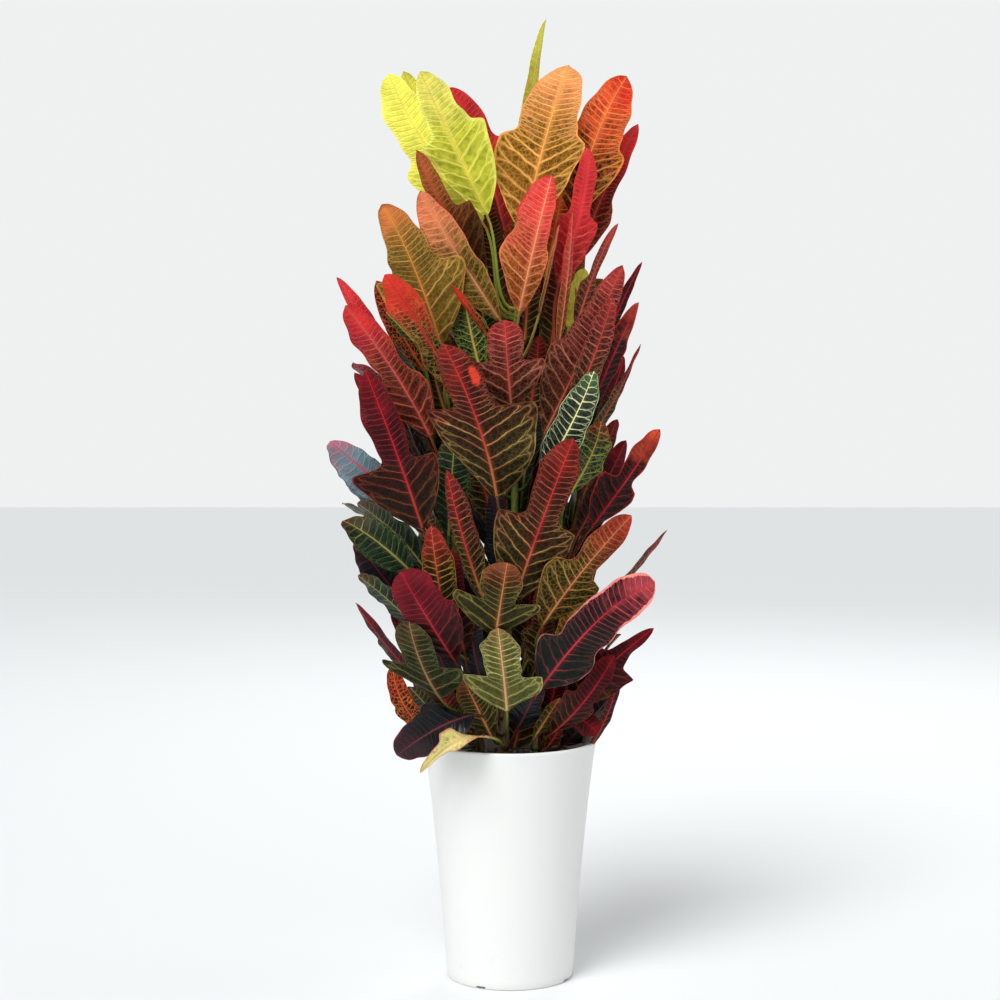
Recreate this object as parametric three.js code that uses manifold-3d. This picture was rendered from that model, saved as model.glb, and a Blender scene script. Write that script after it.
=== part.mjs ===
// A potted croton: a tall flared plastic pot, its soil, three woody stems and their lobed leaves.
// Millimetres, +Z up, +X right, -Y front. The origin is the middle of the pot's underside.

import * as THREE from 'three';
import { mergeVertices } from 'three/addons/utils/BufferGeometryUtils.js';
import Module from 'manifold-3d';

const wasm = await Module();
wasm.setup();

// ---- driving dimensions ----
const CLEARANCE = 0.3;            // between two pieces that touch

const POT_HEIGHT = 302;
const POT_RIM_RADIUS = 109;
const POT_FOOT_RADIUS = 79.5;
const POT_WALL = 3;
const POT_FLOOR = 6;
const POT_LIP_RADIUS = 2.2;
const POT_SIDES = 48;

const DRAIN_HOLES = 4;
const DRAIN_BEARING = -27.5;      // of the first hole, from the front towards the right
const DRAIN_HOLE_RADIUS = 6;
const DRAIN_HOLE_AT = 52;         // from the pot's axis
const DRAIN_NOTCH_WIDTH = 13;
const DRAIN_NOTCH_HEIGHT = 3.5;

const SOIL_TOP = 272;             // at the wall; the middle is higher
const SOIL_CROWN = 5;

const STEM_SIDES = 10;
const STEM_STEPS = 14;

const LEAF_THICKNESS = 1.1;       // at the midrib
const LEAF_CURL = 0.15;           // how far the margins bend back, as a share of the half width
const PETIOLE_RADIUS = 1.7;
const PETIOLE_STEPS = 2;
const VEIN_ANGLE_LOBE = 60;       // degrees between the midrib and a side vein
const VEIN_ANGLE_TIP = 71;

const rad = THREE.MathUtils.degToRad;
const UP = new THREE.Vector3(0, 0, 1);
const vec = ([x, y, z]) => new THREE.Vector3(x, y, z);
// Bearings are in degrees: 0 is the front (-Y), 90 the right (+X), 180 the back.
const bearing = (degrees) => new THREE.Vector3(Math.sin(rad(degrees)), -Math.cos(rad(degrees)), 0);

// ---- solids ----
function toManifold(geometry) {
  const bare = geometry.clone();
  bare.deleteAttribute('normal');
  bare.deleteAttribute('uv');
  const merged = mergeVertices(bare, 1e-4);
  return new wasm.Manifold(new wasm.Mesh({
    numProp: 3,
    vertProperties: new Float32Array(merged.attributes.position.array),
    triVerts: new Uint32Array(merged.index.array),
  }));
}

function toGeometry(solid) {
  const mesh = solid.getMesh();
  const geometry = new THREE.BufferGeometry();
  geometry.setAttribute('position', new THREE.BufferAttribute(mesh.vertProperties, 3));
  geometry.setIndex(new THREE.BufferAttribute(mesh.triVerts, 1));
  geometry.computeVertexNormals();
  return geometry;
}

// A body of revolution about Z from [radius, height] points that go up the outside.
function turned(points, sides) {
  const lathe = new THREE.LatheGeometry(points.map(([r, z]) => new THREE.Vector2(r, z)), sides);
  return lathe.rotateX(Math.PI / 2);
}

// ---- pot ----
// Outer radius at a height: a straight taper with a flare that grows towards the rim.
const POT_TAPER = 0.077;
const POT_FLARE = POT_RIM_RADIUS - POT_FOOT_RADIUS - POT_TAPER * POT_HEIGHT;
const POT_FLARE_POWER = 3.4;
function potRadius(z) {
  return POT_FOOT_RADIUS + POT_TAPER * z + POT_FLARE * (z / POT_HEIGHT) ** POT_FLARE_POWER;
}

function potGeometry() {
  const wallHeights = [60, 120, 170, 210, 245, 275];
  const footBevel = 2.5;
  const outside = [[0, 0], [POT_FOOT_RADIUS - footBevel, 0], [potRadius(footBevel), footBevel]];
  for (const z of wallHeights) outside.push([potRadius(z), z]);

  const lip = [];
  const lipCentre = [POT_RIM_RADIUS - POT_LIP_RADIUS, POT_HEIGHT - POT_LIP_RADIUS];
  for (let turn = 0; turn <= 180; turn += 45) {
    lip.push([
      lipCentre[0] + POT_LIP_RADIUS * Math.cos(rad(turn)),
      lipCentre[1] + POT_LIP_RADIUS * Math.sin(rad(turn)),
    ]);
  }

  const inside = [];
  for (const z of [...wallHeights].reverse()) inside.push([potRadius(z) - POT_WALL, z]);
  inside.push([potRadius(POT_FLOOR) - POT_WALL, POT_FLOOR], [0, POT_FLOOR]);

  let pot = toManifold(turned([...outside, ...lip, ...inside], POT_SIDES));
  for (let i = 0; i < DRAIN_HOLES; i += 1) {
    const out = bearing(DRAIN_BEARING + i * 360 / DRAIN_HOLES);
    const hole = new THREE.CylinderGeometry(DRAIN_HOLE_RADIUS, DRAIN_HOLE_RADIUS, 4 * POT_FLOOR, 16);
    hole.rotateX(Math.PI / 2).translate(out.x * DRAIN_HOLE_AT, out.y * DRAIN_HOLE_AT, 0);

    const run = POT_RIM_RADIUS - DRAIN_HOLE_AT;
    const notch = new THREE.BoxGeometry(run, DRAIN_NOTCH_WIDTH, 2 * DRAIN_NOTCH_HEIGHT);
    notch.translate(DRAIN_HOLE_AT + run / 2, 0, 0).rotateZ(Math.atan2(out.y, out.x));
    pot = pot.subtract(toManifold(hole)).subtract(toManifold(notch));
  }
  return toGeometry(pot);
}

// ---- stems ----
// Each stem is a smooth line of hand-set points from the soil up, with a radius at its foot and tip.
const STEMS = {
  center: {
    line: [[-8, -6, 200], [-8, -8, 275], [-4, -6, 420], [6, 4, 600], [4, 6, 740], [8, 0, 850]],
    foot: 6.5, tip: 3,
  },
  left: {
    line: [[-34, 14, 200], [-36, 14, 275], [-52, 8, 380], [-66, 2, 500], [-74, -6, 620], [-78, -10, 730]],
    foot: 5.5, tip: 2.8,
  },
  right: {
    line: [[34, 16, 200], [36, 16, 275], [48, 14, 400], [60, 8, 530], [66, 0, 660], [68, -4, 770]],
    foot: 5.5, tip: 2.8,
  },
};
for (const stem of Object.values(STEMS)) {
  stem.curve = new THREE.CatmullRomCurve3(stem.line.map(vec));
}

// The stem's axis point and radius at a height.
function stemAt(name, z) {
  const stem = STEMS[name];
  let low = 0;
  let high = 1;
  for (let i = 0; i < 24; i += 1) {
    const middle = (low + high) / 2;
    if (stem.curve.getPoint(middle).z < z) low = middle;
    else high = middle;
  }
  return { point: stem.curve.getPoint(low), radius: stem.foot + (stem.tip - stem.foot) * low };
}

// A round tapered bar along a rising curve, closed at both ends; grow makes it fatter all round
// and deeper at its foot.
function barGeometry(curve, foot, tip, steps, sides, grow = 0) {
  const positions = [];
  const index = [];
  const rings = [];
  for (let i = 0; i <= steps; i += 1) {
    const k = i / steps;
    const centre = curve.getPoint(k);
    const radius = foot + (tip - foot) * k + grow;
    rings.push(positions.length / 3);
    for (let j = 0; j < sides; j += 1) {
      const turn = (2 * Math.PI * j) / sides;
      const z = i === 0 ? centre.z - grow : centre.z;
      positions.push(centre.x + radius * Math.cos(turn), centre.y + radius * Math.sin(turn), z);
    }
  }
  for (let i = 0; i < steps; i += 1) {
    for (let j = 0; j < sides; j += 1) {
      const a = rings[i] + j;
      const b = rings[i] + ((j + 1) % sides);
      const c = rings[i + 1] + ((j + 1) % sides);
      const d = rings[i + 1] + j;
      index.push(a, b, c, a, c, d);
    }
  }
  const last = rings[steps];
  for (let j = 1; j < sides - 1; j += 1) {
    index.push(0, j + 1, j, last, last + j, last + j + 1);
  }
  const geometry = new THREE.BufferGeometry();
  geometry.setAttribute('position', new THREE.Float32BufferAttribute(positions, 3));
  geometry.setIndex(index);
  geometry.computeVertexNormals();
  return geometry;
}

function stemGeometry(name, grow = 0) {
  const stem = STEMS[name];
  return barGeometry(stem.curve, stem.foot, stem.tip, STEM_STEPS, STEM_SIDES, grow);
}

// ---- soil ----
function soilGeometry() {
  const wall = (z) => potRadius(z) - POT_WALL - 2 * CLEARANCE;
  const bottom = POT_FLOOR + CLEARANCE;
  const points = [[0, bottom], [wall(bottom), bottom]];
  for (const z of [60, 130, 190, 235, SOIL_TOP]) points.push([wall(z), z]);
  points.push([wall(SOIL_TOP) * 0.6, SOIL_TOP + SOIL_CROWN], [0, SOIL_TOP + SOIL_CROWN]);
  let soil = toManifold(turned(points, 36));
  for (const name of Object.keys(STEMS)) {
    soil = soil.subtract(toManifold(stemGeometry(name, CLEARANCE)));
  }
  return toGeometry(soil);
}

// ---- leaves ----
// Leaf shapes: where the vein of the side lobes leaves the midrib (a share of the length), the
// length of the veins at the waist and in the middle of the end lobe (shares of the lobe's vein),
// how much of that is left near the tip, and how far the left lobe stands further out than the right.
const SHAPES = {
  slim: { at: 0.35, waist: 0.28, blade: 0.34, point: 0.78, skew: 0 },
  lobed: { at: 0.35, waist: 0.40, blade: 0.44, point: 0.78, skew: 0 },
  broad: { at: 0.34, waist: 0.56, blade: 0.54, point: 0.76, skew: 0 },
  full: { at: 0.36, waist: 0.76, blade: 0.66, point: 0.76, skew: 0 },
  strap: { at: 0.38, waist: 0.93, blade: 0.78, point: 0.66, skew: 0 },
};

// A smooth curve through points that never overshoots them.
function smooth(xs, ys, x) {
  const slopes = xs.slice(1).map((value, i) => (ys[i + 1] - ys[i]) / (value - xs[i]));
  const tangent = (i) => {
    if (i === 0) return slopes[0];
    if (i === xs.length - 1) return slopes[i - 1];
    const [a, b] = [slopes[i - 1], slopes[i]];
    return a * b > 0 ? 2 / (1 / a + 1 / b) : 0;
  };
  let i = 0;
  while (i < xs.length - 2 && x > xs[i + 1]) i += 1;
  const h = xs[i + 1] - xs[i];
  const t = (x - xs[i]) / h;
  return (1 + 2 * t) * (1 - t) ** 2 * ys[i] + t * (1 - t) ** 2 * h * tangent(i)
    + t * t * (3 - 2 * t) * ys[i + 1] + t * t * (t - 1) * h * tangent(i + 1);
}

// Length of the side vein that leaves the midrib at s, as a share of the lobe's vein.
function veinReach(s, { at, waist, blade, point }) {
  const xs = [0, 0.2 * at, 0.5 * at, 0.82 * at, at, at + 0.04, at + 0.09, at + 0.15, 0.72, 0.86, 0.95, 1];
  const shoulder = [0.62 + 0.38 * waist, 0.17 + 0.83 * waist];
  const ys = [
    0.12, 0.52, 0.84, 1, 0.97, ...shoulder, waist, blade, point * blade, 0.54 * point * blade, 0,
  ];
  return smooth(xs, ys, s);
}

function veinAngle(s, { at }) {
  const k = THREE.MathUtils.smoothstep(s, at + 0.08, at + 0.3);
  return rad(VEIN_ANGLE_LOBE + (VEIN_ANGLE_TIP - VEIN_ANGLE_LOBE) * k);
}

// The midrib as a curve with a frame: which way the blade lies and which way its upper side faces.
class Midrib {
  constructor(leaf) {
    const [base, middle, tip] = [leaf.base, leaf.middle, leaf.tip].map(vec);
    const control = middle.clone().multiplyScalar(2).sub(base.clone().add(tip).multiplyScalar(0.5));
    this.curve = new THREE.QuadraticBezierCurve3(base, control, tip);
    this.length = this.curve.getLength();
    this.leaf = leaf;
    this.shape = { ...SHAPES[leaf.shape], ...leaf.own };
  }

  frame(u) {
    const share = Math.min(u / this.length, 1);
    const along = this.curve.getTangentAt(share);
    const point = this.curve.getPointAt(share).addScaledVector(along, u - share * this.length);
    const side = new THREE.Vector3().crossVectors(UP, bearing(this.leaf.faces));
    side.addScaledVector(along, -side.dot(along)).normalize();
    const upper = new THREE.Vector3().crossVectors(along, side);
    return { point, along, side, upper };
  }
}

// A point of the blade: s along the midrib, t across from -1 to 1 on the vein that leaves there.
function bladePoint(midrib, s, t) {
  const { leaf, length, shape } = midrib;
  const halfWidth = t < 0 ? leaf.left : leaf.right;
  const lobeVein = halfWidth / Math.sin(rad(VEIN_ANGLE_LOBE));
  const reach = lobeVein * veinReach(s, shape) * Math.abs(t);
  const angle = veinAngle(s, shape);
  const across = reach * Math.sin(angle);
  const along = s * length + reach * Math.cos(angle) - Math.sign(t) * across * shape.skew;
  const { point, side, upper } = midrib.frame(along);
  const fold = rad(leaf.fold);
  const rise = across * Math.sin(fold) - LEAF_CURL * across * across / halfWidth;
  return {
    point: point.addScaledVector(side, Math.sign(t) * across * Math.cos(fold)).addScaledVector(upper, rise),
    upper,
  };
}

function petioleCurve(leaf, midrib) {
  const { point, radius } = stemAt(leaf.stem, leaf.node);
  const base = vec(leaf.base);
  const out = new THREE.Vector3(base.x - point.x, base.y - point.y, 0).normalize();
  const start = point.clone().addScaledVector(out, radius + CLEARANCE);
  const reach = start.distanceTo(base);
  const { along } = midrib.frame(0);
  return new THREE.CubicBezierCurve3(
    start,
    start.clone().addScaledVector(out, 0.3 * reach),
    base.clone().addScaledVector(along, -0.35 * reach),
    base,
  );
}

const SECTION = [
  // across, share of the half thickness above the middle
  [1, 0], [0.5, 0.7], [0, 1], [-0.5, 0.7], [-1, 0], [-0.5, -0.7], [0, -1], [0.5, -0.7],
];

// One closed body: a round petiole that runs out into the blade, thin to its edges and tip.
function leafGeometry(leaf) {
  const midrib = new Midrib(leaf);
  const { at } = midrib.shape;
  const stations = [0.03, 0.35 * at, 0.75 * at, at, at + 0.04, at + 0.09, at + 0.2, 0.72, 0.87, 0.96];
  const rings = [];

  const petiole = petioleCurve(leaf, midrib);
  const { side: bladeSide } = midrib.frame(0);
  for (let i = 0; i <= PETIOLE_STEPS; i += 1) {
    const k = i / PETIOLE_STEPS;
    const centre = petiole.getPoint(k);
    const along = petiole.getTangent(k);
    const side = bladeSide.clone().addScaledVector(along, -bladeSide.dot(along)).normalize();
    const upper = new THREE.Vector3().crossVectors(along, side);
    rings.push(SECTION.map((_, j) => {
      const turn = (2 * Math.PI * j) / SECTION.length;
      return centre.clone()
        .addScaledVector(side, PETIOLE_RADIUS * Math.cos(turn))
        .addScaledVector(upper, PETIOLE_RADIUS * Math.sin(turn));
    }));
  }
  for (const s of stations) {
    const thickness = LEAF_THICKNESS * (s > 0.9 ? 0.6 : 1);
    rings.push(SECTION.map(([t, share]) => {
      const { point, upper } = bladePoint(midrib, s, t);
      return point.addScaledVector(upper, share * thickness / 2);
    }));
  }

  const positions = rings.flat().flatMap((p) => [p.x, p.y, p.z]);
  const tip = positions.length / 3;
  positions.push(...midrib.frame(midrib.length).point.toArray());
  const n = SECTION.length;
  const index = [];
  for (let i = 0; i < rings.length - 1; i += 1) {
    for (let j = 0; j < n; j += 1) {
      const a = i * n + j;
      const b = i * n + ((j + 1) % n);
      // Both sides of the blade are split along the same diagonals, so that they never cross.
      if (j < n / 2) index.push(a, b, b + n, a, b + n, a + n);
      else index.push(a, b, a + n, b, b + n, a + n);
    }
  }
  for (let j = 1; j < n - 1; j += 1) index.push(0, j + 1, j);
  const last = (rings.length - 1) * n;
  for (let j = 0; j < n; j += 1) index.push(last + j, last + ((j + 1) % n), tip);

  const geometry = new THREE.BufferGeometry();
  geometry.setAttribute('position', new THREE.Float32BufferAttribute(positions, 3));
  geometry.setIndex(index);
  geometry.computeVertexNormals();
  return geometry;
}

// Leaves set one by one: name, stem, height of the node on the stem, the blade's base, middle and
// tip, half width to the left and to the right, bearing that the under side faces, shape, fold
// in degrees, colour, and what differs from the shape.
const PLACED_LEAVES = [
  ['leaf_top_yellow_front', 'center', 842, [-28, -25, 957], [-68, -45, 1040], [-109, -70, 1128],
    42, 50, -20, 'full', 14, 'yellow', { at: 0.42, waist: 0.6, blade: 0.48 }],
  ['leaf_top_yellow_back', 'center', 835, [-34, -2, 950], [-107, 12, 1049], [-151, 20, 1135],
    44, 34, -20, 'full', 10, 'yellow', { at: 0.34, waist: 0.64 }],
  ['leaf_top_red_back', 'center', 828, [-6, 35, 937], [-40, 44, 1051], [-80, 45, 1120],
    44, 24, 190, 'lobed', 12, 'scarlet', { at: 0.44, waist: 0.5 }],
  ['leaf_top_spire', 'center', 838, [8, 18, 961], [26, 22, 1100], [45, 22, 1203],
    17, 17, 62, 'strap', 20, 'yellow'],
  ['leaf_top_orange', 'center', 832, [17, -22, 936], [41, -38, 1042], [72, -22, 1141],
    58, 50, 0, 'broad', 12, 'orange', { at: 0.4, waist: 0.66, blade: 0.56, skew: -0.2 }],
  ['leaf_top_right', 'right', 762, [77, -10, 957], [108, -14, 1058], [144, -12, 1128],
    38, 44, 10, 'full', 12, 'red', { at: 0.32, blade: 0.6 }],
  ['leaf_right_pink_back', 'right', 755, [82, 14, 898], [117, 24, 986], [160, 24, 1073],
    24, 24, 160, 'broad', 10, 'pink'],
  ['leaf_right_scarlet', 'right', 768, [59, -28, 870], [86, -40, 964], [95, -34, 1039],
    25, 25, 190, 'broad', 8, 'scarlet', { at: 0.4, waist: 0.48, blade: 0.5 }],
  ['leaf_front_pink', 'center', 800, [11, -48, 836], [28, -72, 914], [50, -74, 1003],
    40, 20, -10, 'full', 14, 'pink'],
  ['leaf_salmon', 'center', 790, [-12, -50, 828], [-64, -62, 908], [-109, -66, 985],
    22, 29, 170, 'strap', 16, 'salmon'],
  ['leaf_maroon_top_left', 'center', 812, [-31, -28, 884], [-78, -42, 958], [-115, -36, 1036],
    32, 38, -25, 'slim', 12, 'maroon', { at: 0.38, waist: 0.36, blade: 0.33 }],
  ['leaf_left_olive', 'left', 722, [-85, -42, 798], [-120, -62, 899], [-156, -62, 968],
    58, 60, -10, 'broad', 12, 'orange', { waist: 0.5, blade: 0.37 }],
  ['leaf_far_left_red', 'left', 645, [-98, -44, 684], [-144, -58, 768], [-202, -54, 846],
    44, 34, -24, 'broad', 12, 'pink', { at: 0.3, waist: 0.5, blade: 0.56 }],
  ['leaf_left_green_red', 'left', 690, [-67, -62, 745], [-112, -84, 824], [-152, -84, 883],
    22, 22, 165, 'strap', 12, 'green', { at: 0.22, waist: 0.64, blade: 0.94 }],
  ['leaf_right_brown', 'right', 735, [81, -30, 816], [106, -36, 893], [133, -28, 947],
    13, 11, 10, 'lobed', 12, 'maroon'],
  ['leaf_right_big_maroon', 'right', 640, [42, -72, 690], [93, -90, 798], [136, -78, 894],
    40, 34, 6, 'lobed', 12, 'maroon', { waist: 0.72, blade: 0.44 }],
  ['leaf_right_narrow_tip', 'right', 712, [110, 6, 776], [140, 8, 851], [165, 8, 901],
    8, 8, 30, 'strap', 10, 'crimson'],
  ['leaf_right_crimson', 'right', 675, [98, -36, 717], [133, -46, 800], [158, -42, 850],
    22, 17, 35, 'strap', 10, 'crimson', { blade: 0.6 }],
  ['leaf_right_grey_tip', 'right', 615, [98, -54, 681], [134, -66, 745], [159, -62, 799],
    14, 14, 50, 'strap', 10, 'maroon', { at: 0.25, waist: 0.74, blade: 0.3 }],
  ['leaf_right_fine_veined', 'right', 655, [74, -88, 716], [106, -106, 800], [122, -102, 856],
    19, 19, 25, 'strap', 12, 'crimson'],
  ['leaf_edge_pink', 'center', 765, [58, -50, 792], [69, -52, 872], [76, -52, 958],
    14, 14, 60, 'strap', 14, 'pink'],
  ['leaf_edge_cream', 'center', 775, [34, -60, 831], [47, -66, 884], [60, -62, 944],
    9, 9, 75, 'strap', 14, 'salmon'],
  ['leaf_center_small', 'center', 660, [2, -92, 717], [-3, -112, 770], [-7, -112, 828],
    50, 46, 0, 'lobed', 10, 'maroon'],
  ['leaf_center_left_big', 'center', 560, [-16, -100, 613], [-38, -128, 702], [-80, -122, 800],
    56, 72, -4, 'lobed', 12, 'maroon', { at: 0.42, waist: 0.34, blade: 0.36, skew: 0.35 }],
  ['leaf_left_big_maroon', 'left', 520, [-106, -88, 573], [-138, -116, 672], [-174, -112, 767],
    62, 44, -6, 'lobed', 12, 'crimson', { at: 0.29, waist: 0.36, blade: 0.38, skew: -0.1 }],
  ['leaf_left_glossy', 'left', 560, [-135, -50, 602], [-184, -66, 650], [-221, -62, 680],
    20, 30, 200, 'strap', 10, 'black'],
  ['leaf_left_dark_green', 'left', 470, [-119, -76, 519], [-164, -96, 562], [-204, -90, 585],
    24, 24, 190, 'strap', 10, 'green'],
  ['leaf_left_low_dark', 'left', 430, [-129, -34, 476], [-164, -42, 520], [-191, -40, 556],
    20, 20, 195, 'strap', 10, 'green'],
  ['leaf_left_crimson_diagonal', 'left', 375, [-66, -108, 414], [-100, -134, 472], [-132, -130, 527],
    36, 42, -16, 'full', 10, 'crimson'],
  ['leaf_fishbone_orange', 'center', 400, [-76, -84, 442], [-88, -106, 520], [-96, -104, 580],
    20, 24, -14, 'strap', 12, 'orange'],
  ['leaf_dark_narrow', 'center', 445, [-33, -92, 490], [-58, -108, 569], [-77, -100, 647],
    12, 20, -10, 'strap', 12, 'maroon'],
  ['leaf_center_right_big', 'center', 430, [5, -118, 490], [38, -152, 591], [75, -148, 688],
    54, 48, 6, 'lobed', 12, 'maroon'],
  ['leaf_right_forked', 'right', 520, [98, -48, 571], [144, -64, 635], [183, -62, 695],
    34, 26, 20, 'lobed', 12, 'crimson'],
  ['leaf_right_yellow_veined', 'right', 560, [72, -80, 616], [98, -94, 665], [110, -90, 706],
    22, 22, 20, 'strap', 10, 'green'],
  ['leaf_right_glossy_green', 'right', 590, [36, -98, 636], [75, -124, 708], [100, -120, 767],
    22, 22, 165, 'strap', 12, 'green'],
  ['leaf_right_pink_margin', 'right', 365, [37, -100, 381], [108, -128, 470], [174, -124, 513],
    42, 42, 188, 'broad', 10, 'black', { at: 0.2, waist: 0.66, blade: 0.62 }],
  ['leaf_right_pink_strip', 'right', 405, [38, -112, 458], [85, -138, 527], [145, -134, 595],
    42, 34, 8, 'lobed', 12, 'olive'],
  ['leaf_right_edge_brown', 'right', 430, [111, -30, 470], [152, -34, 516], [195, -34, 569],
    12, 12, 60, 'strap', 12, 'maroon'],
  ['leaf_low_right_maroon', 'right', 322, [68, -52, 346], [120, -66, 403], [177, -62, 450],
    40, 38, 8, 'slim', 10, 'crimson', { at: 0.44, waist: 0.32, blade: 0.22 }],
  ['leaf_low_left_green', 'left', 345, [-84, -106, 368], [-107, -130, 415], [-122, -126, 466],
    44, 46, -12, 'lobed', 10, 'olive', { at: 0.28, skew: 0.45 }],
  ['leaf_low_center_green', 'center', 312, [-4, -98, 352], [-8, -132, 400], [-15, -138, 460],
    50, 50, 0, 'lobed', 10, 'olive', { at: 0.26, point: 0.62, skew: 0.12 }],
  ['leaf_low_left_slate', 'center', 308, [-44, -84, 346], [-90, -116, 334], [-137, -130, 304],
    32, 34, 200, 'full', 8, 'black'],
  ['leaf_rim_yellow', 'center', 296, [-24, -106, 322], [-66, -144, 322], [-108, -152, 287],
    20, 9, 20, 'lobed', 8, 'cream', { at: 0.5, waist: 0.5 }],
  ['leaf_center_olive', 'center', 385, [-18, -122, 448], [-12, -154, 490], [-4, -154, 540],
    60, 46, 0, 'lobed', 10, 'olive', { at: 0.31, waist: 0.36 }],
];

// Leaves that follow the plant's habit: name, stem, height of the node, bearing of the leaf, blade
// length, its rise in degrees at the base and at the tip, half width, shape, colour.
const HABIT_LEAVES = [
  ['leaf_back_top', 'center', 815, 165, 190, 76, 62, 46, 'lobed', 'orange'],
  ['leaf_back_top_left', 'left', 705, 215, 205, 74, 58, 46, 'lobed', 'red'],
  ['leaf_back_top_right', 'right', 745, 172, 200, 74, 56, 44, 'lobed', 'salmon'],
  ['leaf_back_upper', 'center', 690, 190, 210, 66, 48, 48, 'lobed', 'maroon'],
  ['leaf_back_upper_right', 'right', 610, 148, 205, 66, 44, 44, 'broad', 'green'],
  ['leaf_back_left', 'left', 575, 238, 200, 64, 44, 42, 'broad', 'crimson'],
  ['leaf_back_middle', 'center', 545, 165, 205, 60, 38, 46, 'lobed', 'green'],
  ['leaf_back_right', 'right', 470, 150, 190, 60, 36, 42, 'lobed', 'maroon'],
  ['leaf_back_low_left', 'left', 430, 205, 180, 56, 34, 42, 'broad', 'olive'],
  ['leaf_back_low', 'center', 375, 180, 165, 50, 26, 40, 'broad', 'black'],
  ['leaf_back_low_right', 'right', 345, 118, 150, 46, 20, 36, 'broad', 'crimson'],
];
const HABIT_FOLD = 12;
const HABIT_PETIOLE = 55;         // from the stem's axis to the blade
const HABIT_PETIOLE_RISE = 48;

const LEAF_COLOURS = {
  yellow: 0xb9a52a, orange: 0xa8622a, scarlet: 0xb5201c, red: 0xa03a22, pink: 0x9c3448,
  salmon: 0xa8705a, crimson: 0x5a1824, maroon: 0x4a2620, olive: 0x5a5a2c, green: 0x2a4a22,
  black: 0x24262a, cream: 0xc8b46a,
};

const GLOSSY_COLOURS = ['green', 'scarlet', 'black'];

function leafMesh(name, colour, leaf) {
  const roughness = GLOSSY_COLOURS.includes(colour) ? 0.3 : 0.55;
  const material = new THREE.MeshStandardMaterial({ color: LEAF_COLOURS[colour], roughness });
  const mesh = new THREE.Mesh(leafGeometry(leaf), material);
  mesh.name = name;
  return mesh;
}

function placedLeaf([
  name, stem, node, base, middle, tip, left, right, faces, shape, fold, colour, own = {},
]) {
  return leafMesh(name, colour, { stem, node, base, middle, tip, left, right, faces, shape, fold, own });
}

// The direction at a bearing that rises by some degrees.
function rising(faces, rise) {
  return bearing(faces).multiplyScalar(Math.cos(rad(rise))).addScaledVector(UP, Math.sin(rad(rise)));
}

function habitLeaf([name, stem, node, faces, length, riseBase, riseTip, halfWidth, shape, colour]) {
  const base = stemAt(stem, node).point.addScaledVector(rising(faces, HABIT_PETIOLE_RISE), HABIT_PETIOLE);
  const middle = base.clone().addScaledVector(rising(faces, riseBase), length / 2);
  const tip = middle.clone().addScaledVector(rising(faces, riseTip), length / 2);
  const [left, right] = [halfWidth, halfWidth];
  const points = { base: base.toArray(), middle: middle.toArray(), tip: tip.toArray() };
  return leafMesh(name, colour, { stem, node, ...points, left, right, faces, shape, fold: HABIT_FOLD });
}

// ---- the plant ----
function named(name, geometry, color, roughness) {
  const mesh = new THREE.Mesh(geometry, new THREE.MeshStandardMaterial({ color, roughness }));
  mesh.name = name;
  return mesh;
}

const croton = new THREE.Group();
croton.add(named('pot', potGeometry(), 0xf2f1ee, 0.3));
croton.add(named('soil', soilGeometry(), 0x3a2a1e, 0.95));
for (const name of Object.keys(STEMS)) {
  croton.add(named(`stem_${name}`, stemGeometry(name), 0x7a5a3c, 0.8));
}
for (const row of PLACED_LEAVES) croton.add(placedLeaf(row));
for (const row of HABIT_LEAVES) croton.add(habitLeaf(row));

export default croton;
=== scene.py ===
"""A potted croton: the looks of its pot, soil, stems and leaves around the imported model.

Everything is in metres, in the frame of the model; the tables of the plant are in millimetres.
A leaf is described by its midrib (base, middle, tip), its half widths and its shape, with the
same rules as the solid leaves, and gets the wavy margins, the vein pattern and the raised
midrib of a real one.
"""

import math

import bpy
import numpy as np
from mathutils.bvhtree import BVHTree
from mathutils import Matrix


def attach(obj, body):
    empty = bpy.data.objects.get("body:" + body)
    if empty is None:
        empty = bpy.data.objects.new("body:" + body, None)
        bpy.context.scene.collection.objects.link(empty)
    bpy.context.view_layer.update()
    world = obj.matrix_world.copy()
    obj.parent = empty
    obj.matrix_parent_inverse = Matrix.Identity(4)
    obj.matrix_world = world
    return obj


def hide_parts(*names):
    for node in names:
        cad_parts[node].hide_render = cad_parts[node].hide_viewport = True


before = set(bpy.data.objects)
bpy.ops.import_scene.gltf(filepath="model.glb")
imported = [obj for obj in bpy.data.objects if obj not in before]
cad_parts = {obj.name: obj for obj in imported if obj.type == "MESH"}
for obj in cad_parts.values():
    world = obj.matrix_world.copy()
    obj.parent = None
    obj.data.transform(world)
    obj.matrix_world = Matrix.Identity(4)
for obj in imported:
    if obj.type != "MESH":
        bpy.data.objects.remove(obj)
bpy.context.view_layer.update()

MM = 0.001
UP = np.array([0.0, 0.0, 1.0])


# ---- small tools ----
def deselect():
    bpy.ops.object.select_all(action="DESELECT")


def pick(*pieces):
    """Selects only these objects; the first is the active one."""
    deselect()
    for piece in pieces:
        piece.select_set(True)
    bpy.context.view_layer.objects.active = pieces[0]


def place_in_mesh(piece):
    """Puts the object's place, turn and scale into its mesh."""
    pick(piece)
    bpy.ops.object.transform_apply(location=True, rotation=True, scale=True)


def apply_all(piece):
    pick(piece)
    for modifier in list(piece.modifiers):
        bpy.ops.object.modifier_apply(modifier=modifier.name)


def smooth(piece, degrees):
    """Smooth shading, sharp where faces meet at more than this angle."""
    pick(piece)
    bpy.ops.object.shade_smooth_by_angle(angle=math.radians(degrees))


def join(pieces, name):
    pick(*pieces)
    bpy.ops.object.join()
    whole = bpy.context.object
    whole.name = whole.data.name = name
    return whole


def coordinates(mesh):
    values = np.empty(3 * len(mesh.vertices))
    mesh.vertices.foreach_get("co", values)
    return values.reshape(-1, 3)


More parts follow.
